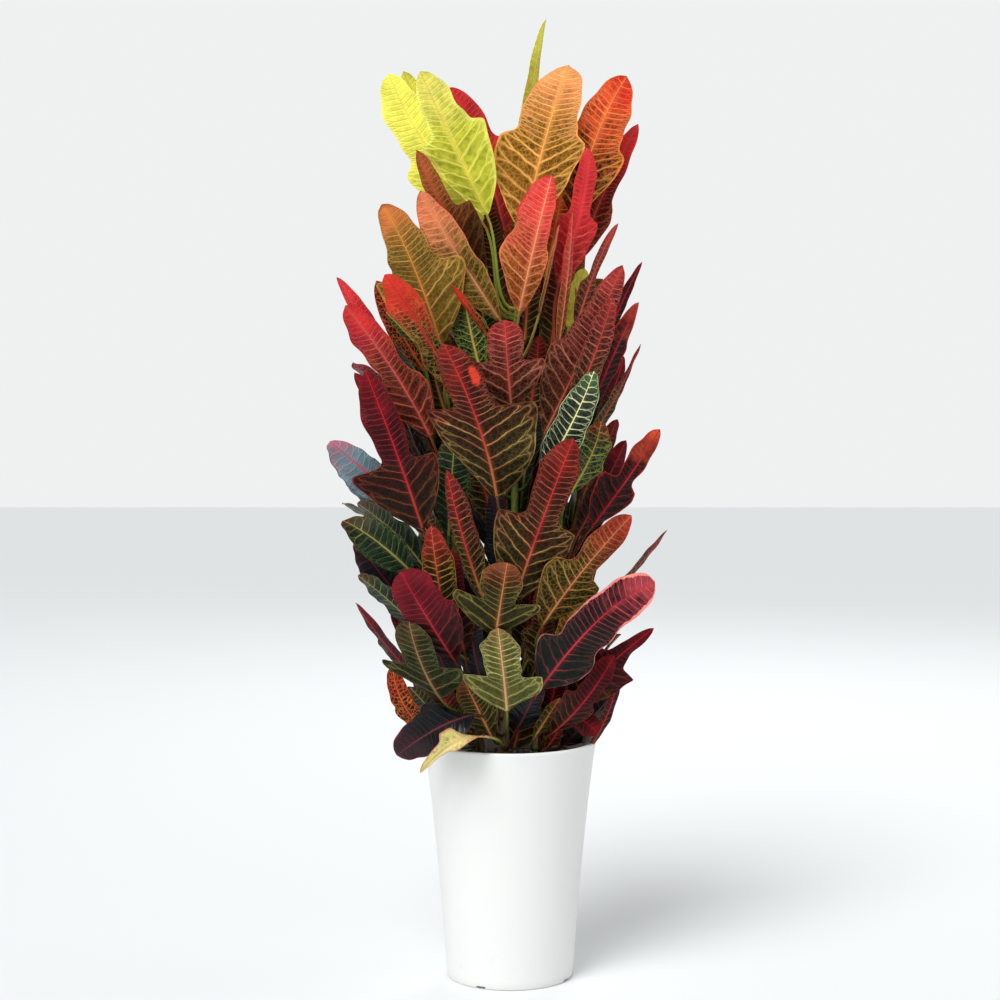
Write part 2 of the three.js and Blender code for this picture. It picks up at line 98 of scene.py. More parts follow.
def set_coordinates(mesh, points):
    mesh.vertices.foreach_set("co", np.ascontiguousarray(points, dtype=np.float64).ravel())
    mesh.update()


def bearing(degrees):
    """Level direction at a bearing: 0 is the front (-Y), 90 the right (+X), 180 the back."""
    turn = math.radians(degrees)
    return np.array([math.sin(turn), -math.cos(turn), 0.0])


def rising(degrees, rise):
    """The direction at a bearing that rises by some degrees."""
    lift = math.radians(rise)
    return bearing(degrees) * math.cos(lift) + UP * math.sin(lift)


def smoothstep(value, low, high):
    k = np.clip((value - low) / (high - low), 0, 1)
    return k * k * (3 - 2 * k)


def unit(vectors):
    return vectors / np.linalg.norm(vectors, axis=-1, keepdims=True)


# ---- sizes, in millimetres ----
POT_HEIGHT = 302
POT_RIM_RADIUS = 109
POT_FOOT_RADIUS = 79.5
POT_TAPER = 0.077
POT_FLARE = POT_RIM_RADIUS - POT_FOOT_RADIUS - POT_TAPER * POT_HEIGHT
POT_FLARE_POWER = 3.4
POT_WALL = 3
POT_FLOOR = 6
POT_LIP_RADIUS = 2.2
FOOT_BEVEL = 2.5
EDGE_BEVEL = 0.5
POT_SIDES = 144
POT_RINGS = np.linspace(8, 296, 37)
LIP_STEPS = 11
DRAIN_HOLES = 4
DRAIN_BEARING = -27.5
DRAIN_HOLE_RADIUS = 6
DRAIN_HOLE_AT = 52
DRAIN_NOTCH_WIDTH = 13
DRAIN_NOTCH_HEIGHT = 3.5

SOIL_TOP = 272
SOIL_CROWN = 5
SOIL_BOTTOM = 6.3
SOIL_WALL_GAP = 0.6
SOIL_RADIUS = 100         # at its top, nearly
SOIL_SIDES = 110
SOIL_RINGS = 34           # of its upper side
CRUMB_REACH = 92          # how far from the middle loose bits lie
CRUMB_LIFT = 0.35         # how far they stand out, as a share of their size

LEAF_CURL = 0.15          # how far the margins bend back, as a share of the half width
VEIN_ANGLE_LOBE = 60      # degrees between the midrib and a side vein
VEIN_ANGLE_TIP = 71
VEIN_ANGLE_DRAWN = 77     # of the fine veins of the end lobe
LEAF_THICKNESS = 0.5
# Waves in the blade's plane and across it, on its left and right: (swings along the leaf,
# height, which of the leaf's own phases).
MARGIN_WAVES = (((2.1, 0.040, 0), (4.7, 0.028, 1)), ((2.4, 0.040, 2), (5.3, 0.028, 3)))
BLADE_WAVES = (((2.6, 1.0, 4), (5.2, 0.6, 5)), ((2.9, 1.0, 6), (4.6, 0.6, 7)))
BLADE_WAVE_HEIGHT = 0.045     # a share of the half width
QUILT_HEIGHT = 0.70       # of the blade between two veins
MIDRIB_WIDTH = 2.0        # where the blade begins, and what is lost of it up to the tip
MIDRIB_WIDTH_LOST = 1.2
MIDRIB_HEIGHT = 1.5       # on the under side, in the same way
MIDRIB_HEIGHT_LOST = 1.0
MIDRIB_GROOVE = 0.35      # on the upper side
PETIOLE_RADIUS = 1.7
PETIOLE_FOOT, PETIOLE_END = 1.35, 0.85   # how much fatter and thinner it is there
PETIOLE_STEPS, PETIOLE_ROUNDS = 10, 2    # of its mesh, along and around
USUAL_TONES = (0.25, 0.75)

STEMS = {
    "center": dict(
        line=[(-8, -6, 200), (-8, -8, 275), (-4, -6, 420), (6, 4, 600), (4, 6, 740), (8, 0, 850)],
        foot=6.5, tip=3.0),
    "left": dict(
        line=[(-34, 14, 200), (-36, 14, 275), (-52, 8, 380), (-66, 2, 500), (-74, -6, 620), (-78, -10, 730)],
        foot=5.5, tip=2.8),
    "right": dict(
        line=[(34, 16, 200), (36, 16, 275), (48, 14, 400), (60, 8, 530), (66, 0, 660), (68, -4, 770)],
        foot=5.5, tip=2.8),
}

STEM_SIDES = 20
OLD_WOOD, YOUNG_WOOD = 300, 560      # heights: rough bark up to the first, smooth from the second
STEM_RING_GAP = 6.0
NODE_LENGTH = 4.5         # of the swelling where a leaf stands
NODE_SWELLING = 0.16      # a share of the stem's radius
NODE_SWELLING_MOST = 1.4  # how many nodes near one another add up
# The bud on a stem: (height above its end, share of its radius).
BUD = ((0, 1), (5, 0.95), (10, 0.75), (15, 0.45), (19, 0.15))

# Leaf shapes: where the vein of the side lobes leaves the midrib (a share of the length), the
# length of the veins at the waist and in the middle of the end lobe (shares of the lobe's vein),
# how much of that is left near the tip, and how far the left lobe stands further out than the right.
SHAPES = {
    "slim": dict(at=0.35, waist=0.28, blade=0.34, point=0.78, skew=0),
    "lobed": dict(at=0.35, waist=0.40, blade=0.44, point=0.78, skew=0),
    "broad": dict(at=0.34, waist=0.56, blade=0.54, point=0.76, skew=0),
    "full": dict(at=0.36, waist=0.76, blade=0.66, point=0.76, skew=0),
    "strap": dict(at=0.38, waist=0.93, blade=0.78, point=0.66, skew=0),
}


def table(text):
    """The rows of a written table: words, whole numbers, places as x,y,z and a last dict of the
    name=value entries."""
    def read(word):
        if "," in word:
            return tuple(int(part) for part in word.split(","))
        return int(word) if word.lstrip("-").isdigit() else word

    rows = []
    for line in text.strip().splitlines():
        entries = [word.partition("=") for word in line.split()]
        own = {key: float(value) for key, equals, value in entries if equals}
        rows.append([read(word) for word, equals, _ in entries if not equals] + [own])
    return rows


# Leaves set one by one: name, stem, height of the node on the stem, the places of the blade's
# base, middle and tip, half width to the left and to the right, bearing that the under side
# faces, shape, fold in degrees, finish, and what differs from the shape.
PLACED_LEAVES = table("""
top_yellow_front center 842 -28,-25,957 -68,-45,1040 -109,-70,1128 42 50 -20 full 14 yellow \
    at=0.42 waist=0.6 blade=0.48
top_yellow_back center 835 -34,-2,950 -107,12,1049 -151,20,1135 44 34 -20 full 10 yellow at=0.34 waist=0.64
top_red_back center 828 -6,35,937 -40,44,1051 -80,45,1120 44 24 190 lobed 12 scarlet at=0.44 waist=0.5
top_spire center 838 8,18,961 26,22,1100 45,22,1203 17 17 62 strap 20 yellow
top_orange center 832 17,-22,936 41,-38,1042 72,-22,1141 58 50 0 broad 12 orange \
    at=0.4 waist=0.66 blade=0.56 skew=-0.2
top_right right 762 77,-10,957 108,-14,1058 144,-12,1128 38 44 10 full 12 red at=0.32 blade=0.6
right_pink_back right 755 82,14,898 117,24,986 160,24,1073 24 24 160 broad 10 pink
right_scarlet right 768 59,-28,870 86,-40,964 95,-34,1039 25 25 190 broad 8 scarlet \
    at=0.4 waist=0.48 blade=0.5
front_pink center 800 11,-48,836 28,-72,914 50,-74,1003 40 20 -10 full 14 pink
salmon center 790 -12,-50,828 -64,-62,908 -109,-66,985 22 29 170 strap 16 salmon
maroon_top_left center 812 -31,-28,884 -78,-42,958 -115,-36,1036 32 38 -25 slim 12 maroon \
    at=0.38 waist=0.36 blade=0.33
left_olive left 722 -85,-42,798 -120,-62,899 -156,-62,968 58 60 -10 broad 12 orange waist=0.5 blade=0.37
far_left_red left 645 -98,-44,684 -144,-58,768 -202,-54,846 44 34 -24 broad 12 pink \
    at=0.3 waist=0.5 blade=0.56
left_green_red left 690 -67,-62,745 -112,-84,824 -152,-84,883 22 22 165 strap 12 green \
    at=0.22 waist=0.64 blade=0.94
right_brown right 735 81,-30,816 106,-36,893 133,-28,947 13 11 10 lobed 12 maroon
right_big_maroon right 640 42,-72,690 93,-90,798 136,-78,894 40 34 6 lobed 12 maroon waist=0.72 blade=0.44
right_narrow_tip right 712 110,6,776 140,8,851 165,8,901 8 8 30 strap 10 crimson
right_crimson right 675 98,-36,717 133,-46,800 158,-42,850 22 17 35 strap 10 crimson blade=0.6
right_grey_tip right 615 98,-54,681 134,-66,745 159,-62,799 14 14 50 strap 10 maroon \
    at=0.25 waist=0.74 blade=0.3
right_fine_veined right 655 74,-88,716 106,-106,800 122,-102,856 19 19 25 strap 12 crimson
edge_pink center 765 58,-50,792 69,-52,872 76,-52,958 14 14 60 strap 14 pink
edge_cream center 775 34,-60,831 47,-66,884 60,-62,944 9 9 75 strap 14 salmon
center_small center 660 2,-92,717 -3,-112,770 -7,-112,828 50 46 0 lobed 10 maroon
center_left_big center 560 -16,-100,613 -38,-128,702 -80,-122,800 56 72 -4 lobed 12 maroon \
    at=0.42 waist=0.34 blade=0.36 skew=0.35
left_big_maroon left 520 -106,-88,573 -138,-116,672 -174,-112,767 62 44 -6 lobed 12 crimson \
    at=0.29 waist=0.36 blade=0.38 skew=-0.1
left_glossy left 560 -135,-50,602 -184,-66,650 -221,-62,680 20 30 200 strap 10 black
left_dark_green left 470 -119,-76,519 -164,-96,562 -204,-90,585 24 24 190 strap 10 green
left_low_dark left 430 -129,-34,476 -164,-42,520 -191,-40,556 20 20 195 strap 10 green
left_crimson_diagonal left 375 -66,-108,414 -100,-134,472 -132,-130,527 36 42 -16 full 10 crimson
fishbone_orange center 400 -76,-84,442 -88,-106,520 -96,-104,580 20 24 -14 strap 12 orange
dark_narrow center 445 -33,-92,490 -58,-108,569 -77,-100,647 12 20 -10 strap 12 maroon
center_right_big center 430 5,-118,490 38,-152,591 75,-148,688 54 48 6 lobed 12 maroon
right_forked right 520 98,-48,571 144,-64,635 183,-62,695 34 26 20 lobed 12 crimson
right_yellow_veined right 560 72,-80,616 98,-94,665 110,-90,706 22 22 20 strap 10 green
right_glossy_green right 590 36,-98,636 75,-124,708 100,-120,767 22 22 165 strap 12 green
right_pink_margin right 365 37,-100,381 108,-128,470 174,-124,513 42 42 188 broad 10 black \
    at=0.2 waist=0.66 blade=0.62
right_pink_strip right 405 38,-112,458 85,-138,527 145,-134,595 42 34 8 lobed 12 olive
right_edge_brown right 430 111,-30,470 152,-34,516 195,-34,569 12 12 60 strap 12 maroon
low_right_maroon right 322 68,-52,346 120,-66,403 177,-62,450 40 38 8 slim 10 crimson \
    at=0.44 waist=0.32 blade=0.22
low_left_green left 345 -84,-106,368 -107,-130,415 -122,-126,466 44 46 -12 lobed 10 olive at=0.28 skew=0.45
low_center_green center 312 -4,-98,352 -8,-132,400 -15,-138,460 50 50 0 lobed 10 olive \
    at=0.26 point=0.62 skew=0.12
low_left_slate center 308 -44,-84,346 -90,-116,334 -137,-130,304 32 34 200 full 8 black
rim_yellow center 296 -24,-106,322 -66,-144,322 -108,-152,287 20 9 20 lobed 8 cream at=0.5 waist=0.5
center_olive center 385 -18,-122,448 -12,-154,490 -4,-154,540 60 46 0 lobed 10 olive at=0.31 waist=0.36
""")

# Leaves that follow the plant's habit: name, stem, height of the node, bearing of the leaf, blade
# length, its rise in degrees at the base and at the tip, half width, shape, finish.
HABIT_LEAVES = [
    ("back_top", "center", 815, 165, 190, 76, 62, 46, "lobed", "orange"),
    ("back_top_left", "left", 705, 215, 205, 74, 58, 46, "lobed", "red"),
    ("back_top_right", "right", 745, 172, 200, 74, 56, 44, "lobed", "salmon"),
    ("back_upper", "center", 690, 190, 210, 66, 48, 48, "lobed", "maroon"),
    ("back_upper_right", "right", 610, 148, 205, 66, 44, 44, "broad", "green"),
    ("back_left", "left", 575, 238, 200, 64, 44, 42, "broad", "crimson"),
    ("back_middle", "center", 545, 165, 205, 60, 38, 46, "lobed", "green"),
    ("back_right", "right", 470, 150, 190, 60, 36, 42, "lobed", "maroon"),
    ("back_low_left", "left", 430, 205, 180, 56, 34, 42, "broad", "olive"),
    ("back_low", "center", 375, 180, 165, 50, 26, 40, "broad", "black"),
    ("back_low_right", "right", 345, 118, 150, 46, 20, 36, "broad", "crimson"),
]
HABIT_FOLD = 12
HABIT_PETIOLE = 55
HABIT_PETIOLE_RISE = 48


# ---- stems ----
def stem_line(name, steps=240):
    """Points of a stem's smooth line, evenly spaced in its own parameter."""
    knots = np.array(STEMS[name]["line"], float)
    knots = np.vstack([2 * knots[0] - knots[1], knots, 2 * knots[-1] - knots[-2]])
    gaps = np.linalg.norm(np.diff(knots, axis=0), axis=1) ** 0.5
    points = []
    for step in range(steps + 1):
        where = step / steps * (len(knots) - 3)
        i = min(int(where), len(knots) - 4)
        w = where - i
        a, b, c, d = knots[i:i + 4]
        g0, g1, g2 = gaps[i:i + 3]
        leave = g1 * ((b - a) / g0 - (c - a) / (g0 + g1) + (c - b) / g1)
        arrive = g1 * ((c - b) / g1 - (d - b) / (g1 + g2) + (d - c) / g2)
        points.append(b + leave * w + (3 * (c - b) - 2 * leave - arrive) * w ** 2
                      + (2 * (b - c) + leave + arrive) * w ** 3)
    return np.array(points)


STEM_LINES = {name: stem_line(name) for name in STEMS}


def stem_at(name, height):
    """(point of the axis, radius) of a stem at a height."""
    line = STEM_LINES[name]
    share = np.interp(height, line[:, 2], np.linspace(0, 1, len(line)))
    point = np.array([np.interp(height, line[:, 2], line[:, k]) for k in range(3)])
    return point, STEMS[name]["foot"] + (STEMS[name]["tip"] - STEMS[name]["foot"]) * share


# ---- leaves: shape ----
def smooth_through(xs, ys, x):
    """A smooth curve through points that never overshoots them."""
    xs, ys = np.array(xs), np.array(ys)
    slopes = np.diff(ys) / np.diff(xs)
    tangents = np.empty(len(xs))
    tangents[0], tangents[-1] = slopes[0], slopes[-1]
    before, after = slopes[:-1], slopes[1:]
    same_way = before * after > 0
    inverse = 1 / np.where(same_way, before, 1) + 1 / np.where(same_way, after, 1)
    tangents[1:-1] = np.where(same_way, 2 / inverse, 0)
    i = np.clip(np.searchsorted(xs, x, side="right") - 1, 0, len(xs) - 2)
    h = xs[i + 1] - xs[i]
    t = (x - xs[i]) / h
    return ((1 + 2 * t) * (1 - t) ** 2 * ys[i] + t * (1 - t) ** 2 * h * tangents[i]
            + t * t * (3 - 2 * t) * ys[i + 1] + t * t * (t - 1) * h * tangents[i + 1])


def vein_reach(s, shape):
    """Length of the side veins that leave the midrib at s, as a share of the longest."""
    at, waist, blade, point = shape["at"], shape["waist"], shape["blade"], shape["point"]
    xs = [0, 0.2 * at, 0.5 * at, 0.82 * at, at, at + 0.04, at + 0.09, at + 0.15, 0.72, 0.86, 0.95, 1]
    ys = [0.12, 0.52, 0.84, 1, 0.97, 0.62 + 0.38 * waist, 0.17 + 0.83 * waist, waist, blade,
          point * blade, 0.54 * point * blade, 0]
    return smooth_through(xs, ys, s)


class Leaf:
    """A leaf's midrib, outline and vein pattern. seed sets its own waves."""

    def __init__(self, name, stem, node, base, middle, tip, left, right, faces, shape, fold,
                 finish, own=None, seed=0):
        self.name, self.stem, self.node = name, stem, node
        self.base, self.middle, self.tip = (np.array(p, float) for p in (base, middle, tip))
        self.left, self.right, self.faces, self.fold = left, right, faces, fold
        self.shape, self.finish = {**SHAPES[shape], **(own or {})}, finish
        self.luck = np.random.default_rng(seed)
        self.tone = self.luck.uniform(*USUAL_TONES)
        self.phases = self.luck.uniform(0, 2 * math.pi, 12)
        self.control = 2 * self.middle - (self.base + self.tip) / 2
        params = np.linspace(0, 1, 201)
        points = self.bezier(params)
        self.lengths = np.concatenate([[0], np.cumsum(np.linalg.norm(np.diff(points, axis=0), axis=1))])
        self.params, self.length = params, self.lengths[-1]
        self.count_veins()

    def bezier(self, t):
        t = np.asarray(t)[..., None]
        return (1 - t) ** 2 * self.base + 2 * t * (1 - t) * self.control + t ** 2 * self.tip

    def frame(self, u):
        """Point, direction, side and upper normal of the midrib at u millimetres from its base."""
        t = np.interp(u, self.lengths, self.params)
        along = unit(2 * (1 - t)[..., None] * (self.control - self.base)
                     + 2 * t[..., None] * (self.tip - self.control))
        point = self.bezier(t) + along * np.maximum(u - self.length, 0)[..., None]
        side = np.cross(UP, bearing(self.faces))
        side = unit(side - along * (along @ side)[..., None])
        return point, along, side, np.cross(along, side)

    def count_veins(self):
        """The number of side veins from the base up to each share of the midrib."""
        half = (self.left + self.right) / 2
        # millimetres from one vein to the next, in the side lobes and in the end lobe
        low = np.clip(0.30 * half + 3.5, 8, 16)
        high = np.clip(0.45 * low, 5.5, 7)
        at = self.shape["at"]
        if self.shape["waist"] > 0.9:
            high = low = np.clip(low, 7, 9)
        s = np.linspace(-0.2, 1.2, 281)
        spacing = low + (high - low) * smoothstep(s, at - 0.02, at + 0.16)
        self.vein_shares = s
        self.vein_count = np.cumsum(self.length / spacing) * (s[1] - s[0])

    def waves(self, s, t, sides):
        left, right = (sum(height * np.sin(2 * math.pi * swings * s + self.phases[k])
                           for swings, height, k in rows) for rows in sides)
        return np.where(t < 0, left, right)

    def surface(self, s, t, detail=1.0):
        """Places on the blade: s along the midrib, t across from -1 to 1 on the vein that leaves
        there. Returns the points, the upper normals and a dict of what the finish follows."""
        s, t = np.broadcast_arrays(s, t)
        sign = np.where(t < 0, -1.0, 1.0)
        half = np.where(t < 0, self.left, self.right)
        reach_full = half / math.sin(math.radians(VEIN_ANGLE_LOBE)) * vein_reach(s, self.shape)
        reach = reach_full * (1 + detail * self.waves(s, t, MARGIN_WAVES)) * np.abs(t)
        at = self.shape["at"]
        k = smoothstep(s, at + 0.08, at + 0.3)
        angle = np.radians(VEIN_ANGLE_LOBE + (VEIN_ANGLE_TIP - VEIN_ANGLE_LOBE) * k)
        across = reach * np.sin(angle)
        straight = s * self.length + reach * np.cos(angle)
        along_mm = straight - sign * across * self.shape["skew"]
        point, _, side, upper = self.frame(along_mm)
        fold = math.radians(self.fold)
        wave = self.waves(s, t, BLADE_WAVES) * np.abs(t) ** 2 * BLADE_WAVE_HEIGHT * half
        # the drawn veins lean less than the surface's own lines in the end lobe, and curve forward
        k = smoothstep(s, at - 0.02, at + 0.22)
        drawn = np.radians(VEIN_ANGLE_LOBE + (VEIN_ANGLE_DRAWN - VEIN_ANGLE_LOBE) * k)
        origin = (straight - across / np.tan(drawn) - 0.10 * across * np.abs(t)) / self.length
        phase = (np.interp(origin, self.vein_shares, self.vein_count) + self.phases[8]
                 + 0.12 * np.sin(7 * s + self.phases[9]))
        pillow = np.cos(2 * math.pi * (phase + np.where(t > 0, 0.5, 0)))
        quilt = -QUILT_HEIGHT * pillow * np.abs(t) * (1 - np.abs(t)) * 4
        quilt = quilt * (1 - smoothstep(s, at, at + 0.15))
        rise = (across * math.sin(fold) - LEAF_CURL * across ** 2 / half + detail * (wave + quilt))
        point = point + side * (sign * across * math.cos(fold))[..., None] + upper * rise[..., None]
        follow = dict(phase=phase, share=np.clip(along_mm / self.length, 0, 1.1),
                      along=along_mm, across=across * sign)
        return point, upper, follow


# A red blot on a blade: its share along the midrib, how far beside it, its height and its width.
SPOTS = {"center_left_big": (0.75, 17, 0.08, 6.5)}

FULL_COLUMNS = (0, .015, .035, .06, .1, .16, .24, .33, .43, .54, .65, .76, .86, .94, 1)
FILL_COLUMNS = (0, .035, .12, .32, .6, .85, 1)
FULL_ROWS = 62
FILL_ROWS = 38


def both_sides(columns):
    return np.array([-c for c in reversed(columns[1:])] + list(columns))


def leaf_rows(count):
    """Shares along the midrib, closer together at both ends."""
    k = np.linspace(0, 1, count)
    s = k + 0.018 * np.sin(2 * math.pi * k)
    return np.clip(s, 0, 0.998)


def add_floats(mesh, name, values):
    layer = mesh.attributes.new(name, "FLOAT", "POINT")
    layer.data.foreach_set("value", np.ascontiguousarray(values, dtype=np.float32))


def clear_uvs(mesh):
    for layer in list(mesh.uv_layers):
        mesh.uv_layers.remove(layer)


def add_uv(mesh, name, values):
    layer = mesh.uv_layers.new(name=name)
    layer.data.foreach_set("uv", np.ascontiguousarray(values, dtype=np.float32).ravel())


def blade_piece(leaf, rows, columns):
    """The blade as a thin closed sheet: a grid laid on the leaf's surface, given its thickness,
    with the midrib raised below and sunk above."""
    t = both_sides(columns)
    s = leaf_rows(rows)
    deselect()
    bpy.ops.mesh.primitive_grid_add(x_subdivisions=len(t) - 1, y_subdivisions=rows - 1, size=2)
    blade = bpy.context.object
    mesh = blade.data
    flat = coordinates(mesh)
    column = np.rint((flat[:, 0] + 1) / 2 * (len(t) - 1)).astype(int)
    row = np.rint((flat[:, 1] + 1) / 2 * (rows - 1)).astype(int)
    point, upper, follow = leaf.surface(s[:, None], t[None, :])
    point, upper = point[row, column], upper[row, column]
    set_coordinates(mesh, point * MM)

    clear_uvs(mesh)
    corner = np.empty(len(mesh.loops), int)
    mesh.loops.foreach_get("vertex_index", corner)
    face_side = np.sign(t[column[corner]].reshape(-1, 4).mean(axis=1)).repeat(4)
    phase = follow["phase"][row, column][corner] + np.where(face_side > 0, 0.5, 0.0)
    across_share = np.abs(t[column[corner]]) * face_side
    add_uv(mesh, "veins", np.column_stack([phase, across_share]))
    add_uv(mesh, "blade", np.column_stack([
        follow["along"][row, column][corner], follow["across"][row, column][corner]]) / FLAT_UNIT)
    share = follow["share"][row, column]
    add_floats(mesh, "share", share)
    add_floats(mesh, "ripe", np.full(len(share), leaf.ripe))
    add_floats(mesh, "tone", np.full(len(share), leaf.tone))
    if leaf.name in SPOTS:
        at, beside, tall, wide = SPOTS[leaf.name]
        across = follow["across"][row, column]
        far = ((share - at) / tall) ** 2 + ((across - beside) / wide) ** 2
        add_floats(mesh, "spot", np.exp(-far))

    shell = blade.modifiers.new("thickness", "SOLIDIFY")
    shell.thickness = LEAF_THICKNESS * MM
    shell.offset = 0
    apply_all(blade)
    mesh = blade.data
    count = len(point)
    under = np.zeros(len(mesh.vertices))
    under[count:] = 1
    add_floats(mesh, "under", under)
    across = follow["across"][row, column]
    width = MIDRIB_WIDTH - MIDRIB_WIDTH_LOST * np.clip(share, 0, 1)
    ridge = np.exp(-(across / width) ** 2) * (1 - smoothstep(share, 0.75, 1.0))
    height = MIDRIB_HEIGHT - MIDRIB_HEIGHT_LOST * np.clip(share, 0, 1)
    moved = coordinates(mesh)
    moved[count:] -= upper * (ridge * height)[:, None] * MM
    moved[:count] -= upper * (MIDRIB_GROOVE * ridge)[:, None] * MM
    set_coordinates(mesh, moved)
    smooth(blade, 60)
    return blade


def petiole_piece(leaf):
    """The stalk from the stem to the blade, fatter at its foot."""
    centre, radius = stem_at(leaf.stem, leaf.node)
    out = leaf.base - centre
    out[2] = 0
    out = unit(out)
    start = centre + out * (radius + 0.3)
    reach = np.linalg.norm(leaf.base - start)
    _, along, _, _ = leaf.frame(np.array([0.0]))
    along = along[0]
    deselect()
    bpy.ops.curve.primitive_bezier_curve_add(location=(0, 0, 0))
    curve = bpy.context.object
    first, last = curve.data.splines[0].bezier_points
    for end, point, before, after, fat in (
            (first, start - out * 1.5, start - out * 6, start + out * 0.3 * reach, PETIOLE_FOOT),
            (last, leaf.base + along * 4, leaf.base - along * 0.35 * reach, leaf.base + along * 12,
             PETIOLE_END)):
        end.handle_left_type = end.handle_right_type = "FREE"
        end.co, end.handle_left, end.handle_right = point * MM, before * MM, after * MM
        end.radius = fat
    curve.data.resolution_u = PETIOLE_STEPS
    curve.data.bevel_depth = PETIOLE_RADIUS * MM
    curve.data.bevel_resolution = PETIOLE_ROUNDS
    curve.data.use_fill_caps = True
    pick(curve)
    bpy.ops.object.convert(target="MESH")
    stalk = bpy.context.object
    mesh = stalk.data
    place_in_mesh(stalk)
    smooth(stalk, 60)
    places = coordinates(mesh) / MM
    near = np.clip(((places - start) @ (leaf.base - start)) / reach ** 2, 0, 1)
    count = len(mesh.vertices)
    clear_uvs(mesh)
    add_uv(mesh, "veins", np.full((len(mesh.loops), 2), (0.5, 0.5)))
    add_uv(mesh, "blade", np.full((len(mesh.loops), 2), (0.0, 0.5)))
    add_floats(mesh, "share", near - 1.02)
    add_floats(mesh, "ripe", np.full(count, leaf.ripe))
    add_floats(mesh, "tone", np.full(count, leaf.tone))
    add_floats(mesh, "under", np.ones(count))
    return stalk


# ---- finishes ----
def colour(red, green, blue):
    """A colour from its 0 to 255 screen values."""
    def linear(value):
        value /= 255
        return value / 12.92 if value <= 0.04045 else ((value + 0.055) / 1.055) ** 2.4
    return (linear(red), linear(green), linear(blue), 1.0)


BLACK = colour(0, 0, 0)


class Wiring:
    """Adds nodes to a node tree. An input may be a socket, a number or a colour."""

    def __init__(self, tree):
        self.tree = tree

    def node(self, kind, **settings):
        node = self.tree.nodes.new(kind)
        for key, value in settings.items():
            setattr(node, key, value)
        return node

    def put(self, socket, value):
        if isinstance(value, bpy.types.NodeSocket):
            self.tree.links.new(value, socket)
        else:
            socket.default_value = value

    def math(self, operation, *values):
        node = self.node("ShaderNodeMath", operation=operation)
        for socket, value in zip(node.inputs, values):
            self.put(socket, value)
        return node.outputs[0]

    def times(self, *values):
        result = values[0]
        for value in values[1:]:
            result = self.math("MULTIPLY", result, value)
        return result

    def plus(self, a, b):
        return self.math("ADD", a, b)

    def minus(self, a, b):
        return self.math("SUBTRACT", a, b)

    def rest(self, share):
        return self.minus(1.0, share)

    def size(self, value):
        return self.math("ABSOLUTE", value)

    def larger(self, a, b):
        return self.math("MAXIMUM", a, b)

    def line(self, value, slope, start):
        return self.math("MULTIPLY_ADD", value, slope, start)

    def swing(self, noise, amount, middle):
        """middle, moved up and down by a noise."""
        return self.line(self.minus(noise, 0.5), amount, middle)

    def fade(self, value, start, end, low=0.0, high=1.0):
        """Smoothly from low where value is start to high where it is end."""
        node = self.node("ShaderNodeMapRange", interpolation_type="SMOOTHSTEP")
        for socket, item in zip(node.inputs, (value, start, end, low, high)):
            self.put(socket, item)
        return node.outputs[0]

    def mix(self, factor, a, b, blend="MIX"):
        node = self.node("ShaderNodeMix", data_type="RGBA", blend_type=blend)
        self.put(node.inputs[0], factor)
        self.put(node.inputs[6], a)
        self.put(node.inputs[7], b)
        return node.outputs[2]

    def blend(self, factor, a, b):
        node = self.node("ShaderNodeMix", data_type="FLOAT")
        self.put(node.inputs[0], factor)
        self.put(node.inputs[2], a)
        self.put(node.inputs[3], b)
        return node.outputs[0]

    def attribute(self, name):
        return self.node("ShaderNodeAttribute", attribute_name=name).outputs["Fac"]

    def object_place(self):
        return self.node("ShaderNodeTexCoord").outputs["Object"]

    def parts(self, vector):
        """The x, y and z of a vector."""
        node = self.node("ShaderNodeSeparateXYZ")
        self.put(node.inputs[0], vector)
        return node.outputs

    def noise(self, place, scale, detail=2.0, roughness=0.5):
        node = self.node("ShaderNodeTexNoise")
        self.put(node.inputs["Vector"], place)
        self.put(node.inputs["Scale"], scale)
        self.put(node.inputs["Detail"], detail)
        self.put(node.inputs["Roughness"], roughness)
        return node.outputs[0]

    def cells(self, place, scale):
        node = self.node("ShaderNodeTexVoronoi", feature="DISTANCE_TO_EDGE")
        self.put(node.inputs["Vector"], place)
        self.put(node.inputs["Scale"], scale)
        return node.outputs["Distance"]

    def bump(self, height, distance, strength=1.0):
        node = self.node("ShaderNodeBump")
        node.inputs["Distance"].default_value = distance
        node.inputs["Strength"].default_value = strength
        self.put(node.inputs["Height"], height)
        return node.outputs[0]


def new_group(name, inputs, outputs):
    """A shader node group with (name, default) inputs, typed by their defaults, and outputs."""
    tree = bpy.data.node_groups.new(name, "ShaderNodeTree")
    for label, default in inputs:
        kind = "NodeSocketColor" if isinstance(default, tuple) else "NodeSocketFloat"
        socket = tree.interface.new_socket(label, in_out="INPUT", socket_type=kind)
        socket.default_value = default
    for label, kind in outputs:
        tree.interface.new_socket(label, in_out="OUTPUT", socket_type=kind)
    wiring = Wiring(tree)
    return tree, wiring, wiring.node("NodeGroupInput").outputs, wiring.node("NodeGroupOutput").inputs


def new_material(name, shown, roughness=0.5, **sockets):
    """(material, wiring, its Principled shader). sockets are set on the shader itself."""
    material = bpy.data.materials.new(name)
    material.use_nodes = True
    material.diffuse_color = shown
    wiring = Wiring(material.node_tree)
    shader = material.node_tree.nodes["Principled BSDF"]
    shader.inputs["Roughness"].default_value = roughness
    for label, value in sockets.items():
        shader.inputs[label.replace("_", " ")].default_value = value
    return material, wiring, shader


